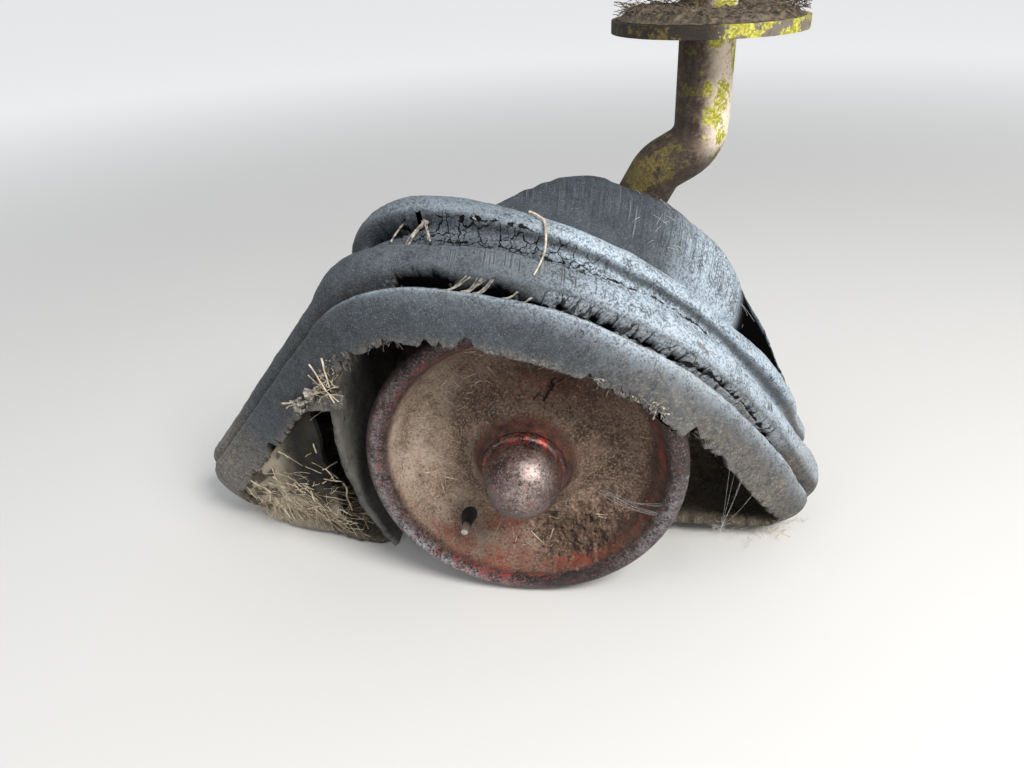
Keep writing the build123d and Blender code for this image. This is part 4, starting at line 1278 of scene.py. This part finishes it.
# clods heaped in the lower right, crumbs and chaff all round, and threads across
soil = np.random.RandomState(23)
places, sizes = [], []
for _ in range(1100):
    angle, radius = soil.normal(299, 13), soil.normal(82, 7)
    size = 0.45 + 1.9 * soil.rand() ** 3
    if 58 < radius < 95:
        places.append(on_bowl(angle, radius, 0.15 * size))
        sizes.append(size)
lumps("dirt_heap_in_bowl", places, sizes, SOIL, "wheel", 25, rough=0.45)
places, sizes = [], []
for _ in range(1500):
    angle, radius = soil.uniform(0, 360), 36 + 56 * math.sqrt(soil.rand())
    size = 0.22 + 0.6 * soil.rand() ** 3
    places.append(on_bowl(angle, radius, 0.1 * size))
    sizes.append(size)
lumps("dirt_in_bowl", places, sizes, CLOD, "wheel", 24)
chaff = []
for _ in range(120):
    angle, radius = soil.normal(185, 70), 40 + 50 * math.sqrt(soil.rand())
    start = on_bowl(angle, radius, 0.5)
    angle = angle + soil.normal(0, 4)
    end = on_bowl(angle, np.clip(radius + soil.normal(0, 4), 34, 93), 0.7)
    chaff.append(bent(start, end, (0, -0.3, 0), 0.15 + 0.25 * soil.rand() ** 2))
for angle, radius, swing, fat in (
    (158, 84, 7, 0.5), (152, 80, 5, 0.4), (163, 88, 4, 0.4), (276, 83, -6, 0.55),
    (205, 70, 5, 0.4), (196, 82, 3, 0.35),
):
    start, end = on_bowl(angle, radius, 0.6), on_bowl(angle + swing, radius - 7, 1.0)
    chaff.append(bent(start, end, (0, -0.6, 0), fat))
tubes("chaff_in_bowl", chaff, STRAW, "wheel", sides=4)
# cracks: angle and radius in the bowl, turn, length, width
rifts = []
for angle, radius, turn, long, fat in (
    (73, 50, 0.9, 9, 1.8), (70, 57, 1.3, 8, 2.2), (66, 62, 0.5, 5, 1.4), (80, 48, 0.2, 4, 1.0),
    (151, 84, 0.8, 6, 0.35), (147, 79, 0.9, 5, 0.3), (155, 88, 0.7, 5, 0.35),
    (143, 86, 1.0, 4, 0.3), (185, 92, 1.6, 6, 0.35), (188, 88, 1.2, 4, 0.3), (181, 90, 1.9, 5, 0.3),
    (170, 76, 0.4, 4, 0.25), (120, 70, 1.0, 5, 0.3), (212, 84, 2.4, 4, 0.3), (100, 66, 0.6, 4, 0.3),
    (300, 62, 0.1, 7, 0.5), (310, 60, 0.5, 6, 0.45), (30, 74, 1.2, 5, 0.3), (338, 70, 0.8, 5, 0.3),
    (60, 78, 1.1, 4, 0.3),
):
    centre = on_bowl(angle, radius, 0.05)
    ahead = np.array([math.cos(turn), 0.0, math.sin(turn)]) * long
    knots = [
        centre + ahead * t + soil.normal(0, 0.14 * long, 3) * (1, 0, 1)
        for t in (-0.5, -0.2, 0.05, 0.3, 0.5)
    ]
    for knot in knots:
        turned = math.degrees(math.atan2(knot[2], knot[0])) % 360
        knot[1] = on_bowl(turned, math.hypot(knot[0], knot[2]), 0.05)[1]
    rifts.append((knots, 0.6 * fat))
tubes("cracks_in_dirt", rifts, RIFT, "wheel", taper=0.4)
web_lines = []
for _ in range(9):
    start = on_bowl(322 + 10 * soil.rand(), 62 + 8 * soil.rand(), 1.0)
    end = on_bowl(338 + 8 * soil.rand(), 99, 3.0)
    web_lines.append(bent(start, end, (0, -5 - 2 * soil.rand(), 0), 0.07))
tubes("cobweb_in_bowl", web_lines, WEB, "wheel", sides=3, taper=1.0)

CAP_R, CAP_Y, CAP_SEGMENTS = 27.0, -9.0, 128
cap_out = [(29.4, 4), (29.4, 1.2), (28.6, -0.6), (27.6, -1.6), (27.0, -3.4), (CAP_R, CAP_Y)]
cap_out += [
    (CAP_R * math.cos(math.radians(a)), CAP_Y - CAP_R * math.sin(math.radians(a)))
    for a in range(8, 90, 8)
]
cap_profile = np.vstack([[(0.4, -24), (19, -24), (19, 4)], chaikin(cap_out, 1), [(0.25, -36.0)]])
cap_points = lathe_points(cap_profile, CAP_SEGMENTS)
depth = cap_points[..., 1]
# a painted highlight and a dusted spot: where they face, strength, width
highlight_and_dust = 0
for facing_way, share, width in (
    ((0.39, -0.62, 0.68), 0.8, 0.10), ((0.05, -0.96, 0.21), 0.75, 0.09),
):
    near = np.exp(-(1 - (cap_points - (0, CAP_Y, 0)) @ np.array(facing_way) / CAP_R) / width)
    highlight_and_dust = np.maximum(highlight_and_dust, share * near * (depth < -8))
cols = len(cap_profile)
cap_faces = grid_faces(CAP_SEGMENTS, cols, close_rows=True).tolist()
rows = [k * cols for k in range(CAP_SEGMENTS)]
cap_faces += [[k + cols - 1 for k in rows], rows[::-1]]
cap = piece(
    "hub_cap_dome", cap_points, cap_faces, [CAP], "wheel",
    marks=(rise(depth, CAP_Y, 5) + 0.1, highlight_and_dust),
)
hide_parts("hub_cap")

# finishes on the CAD nodes that stay
for finish, names in (
    (LEG, "leg_tube leg_plate leg_arm axle_boss"), (RIM, "hub_tube"), (VALVE_METAL, "valve_tip"),
    (STEEL, "stub_axle dust_collar axle_nut bearing_front bearing_back"),
    (VALVE_RUBBER, "valve_stem"),
):
    for name in names.split():
        mesh = bpy.data.objects[name].data
        mesh.materials.clear()
        mesh.materials.append(finish)

# floor, light and camera, in m in the CAD frame
low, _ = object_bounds()
floor_mesh = bpy.data.meshes.new("floor")
corners = [(-30, -30, 0), (30, -30, 0), (30, 30, 0), (-30, 30, 0)]
floor_mesh.from_pydata(corners, [], [(0, 1, 2, 3)])
floor = bpy.data.objects.new("floor", floor_mesh)
floor.location = (0, 0, low.z - 0.0004)
bpy.context.collection.objects.link(floor)
f = Finish("floor_plain", 0.95, 0.0, 0.1)
f.set("Base Color", (0.78, 0.77, 0.75, 1.0))
# far from the object the floor shows pale to the camera, with no more light on anything
rays = f.node("LightPath", "Is Camera Ray").socket.node.outputs
seen = Value(f, rays["Is Camera Ray"]).most(Value(f, rays["Is Glossy Ray"]))
seen = seen.most(Value(f, rays["Is Transmission Ray"]))
far = f.node("VectorMath", "Value", {0: f.place}, operation="LENGTH")
f.set("Emission Color", (0.97, 0.98, 1.0, 1.0))
f.set("Emission Strength", seen * far.band(0.7, 3.2, 0.0, 0.46))
floor_mesh.materials.append(f.mat)

scene = bpy.context.scene
world = bpy.data.worlds.new("studio")
scene.world = world
world.use_nodes = True
world.node_tree.nodes["Background"].inputs["Color"].default_value = (0.93, 0.96, 1.0, 1.0)
world.node_tree.nodes["Background"].inputs["Strength"].default_value = 0.47


def aimed(name, data, place, rotation):
    """An object for a lamp or camera, at a place and turned by a quaternion."""
    obj = bpy.data.objects.new(name, data)
    bpy.context.collection.objects.link(obj)
    obj.location = place
    obj.rotation_mode = "QUATERNION"
    obj.rotation_quaternion = rotation
    return obj


AIM = Vector((-0.14, -0.1, -0.25))
for name, place, size, power, tint in (
    ("key", (0.82, -1.02, 1.12), 0.75, 36.0, (1.0, 0.985, 0.96)),
    ("fill", (-1.3, -1.1, 0.9), 1.6, 6.0, (0.94, 0.97, 1.0)),
):
    data = bpy.data.lights.new(name, "AREA")
    data.shape = "DISK"
    data.size = size
    data.energy = power
    data.color = tint
    aimed(name, data, place, (AIM - Vector(place)).to_track_quat("-Z", "Y"))

data = bpy.data.cameras.new("camera")
data.sensor_width = 36.0
data.lens = 27.07
data.clip_start = 0.01
data.dof.use_dof = False
axes = Matrix(((0.992, -0.017, 0.124), (0.116, 0.495, -0.861), (-0.047, 0.869, 0.493)))
scene.camera = aimed("camera", data, (-0.0628, -0.5808, 0.0463), axes.to_quaternion())
scene.view_settings.view_transform = "Standard"
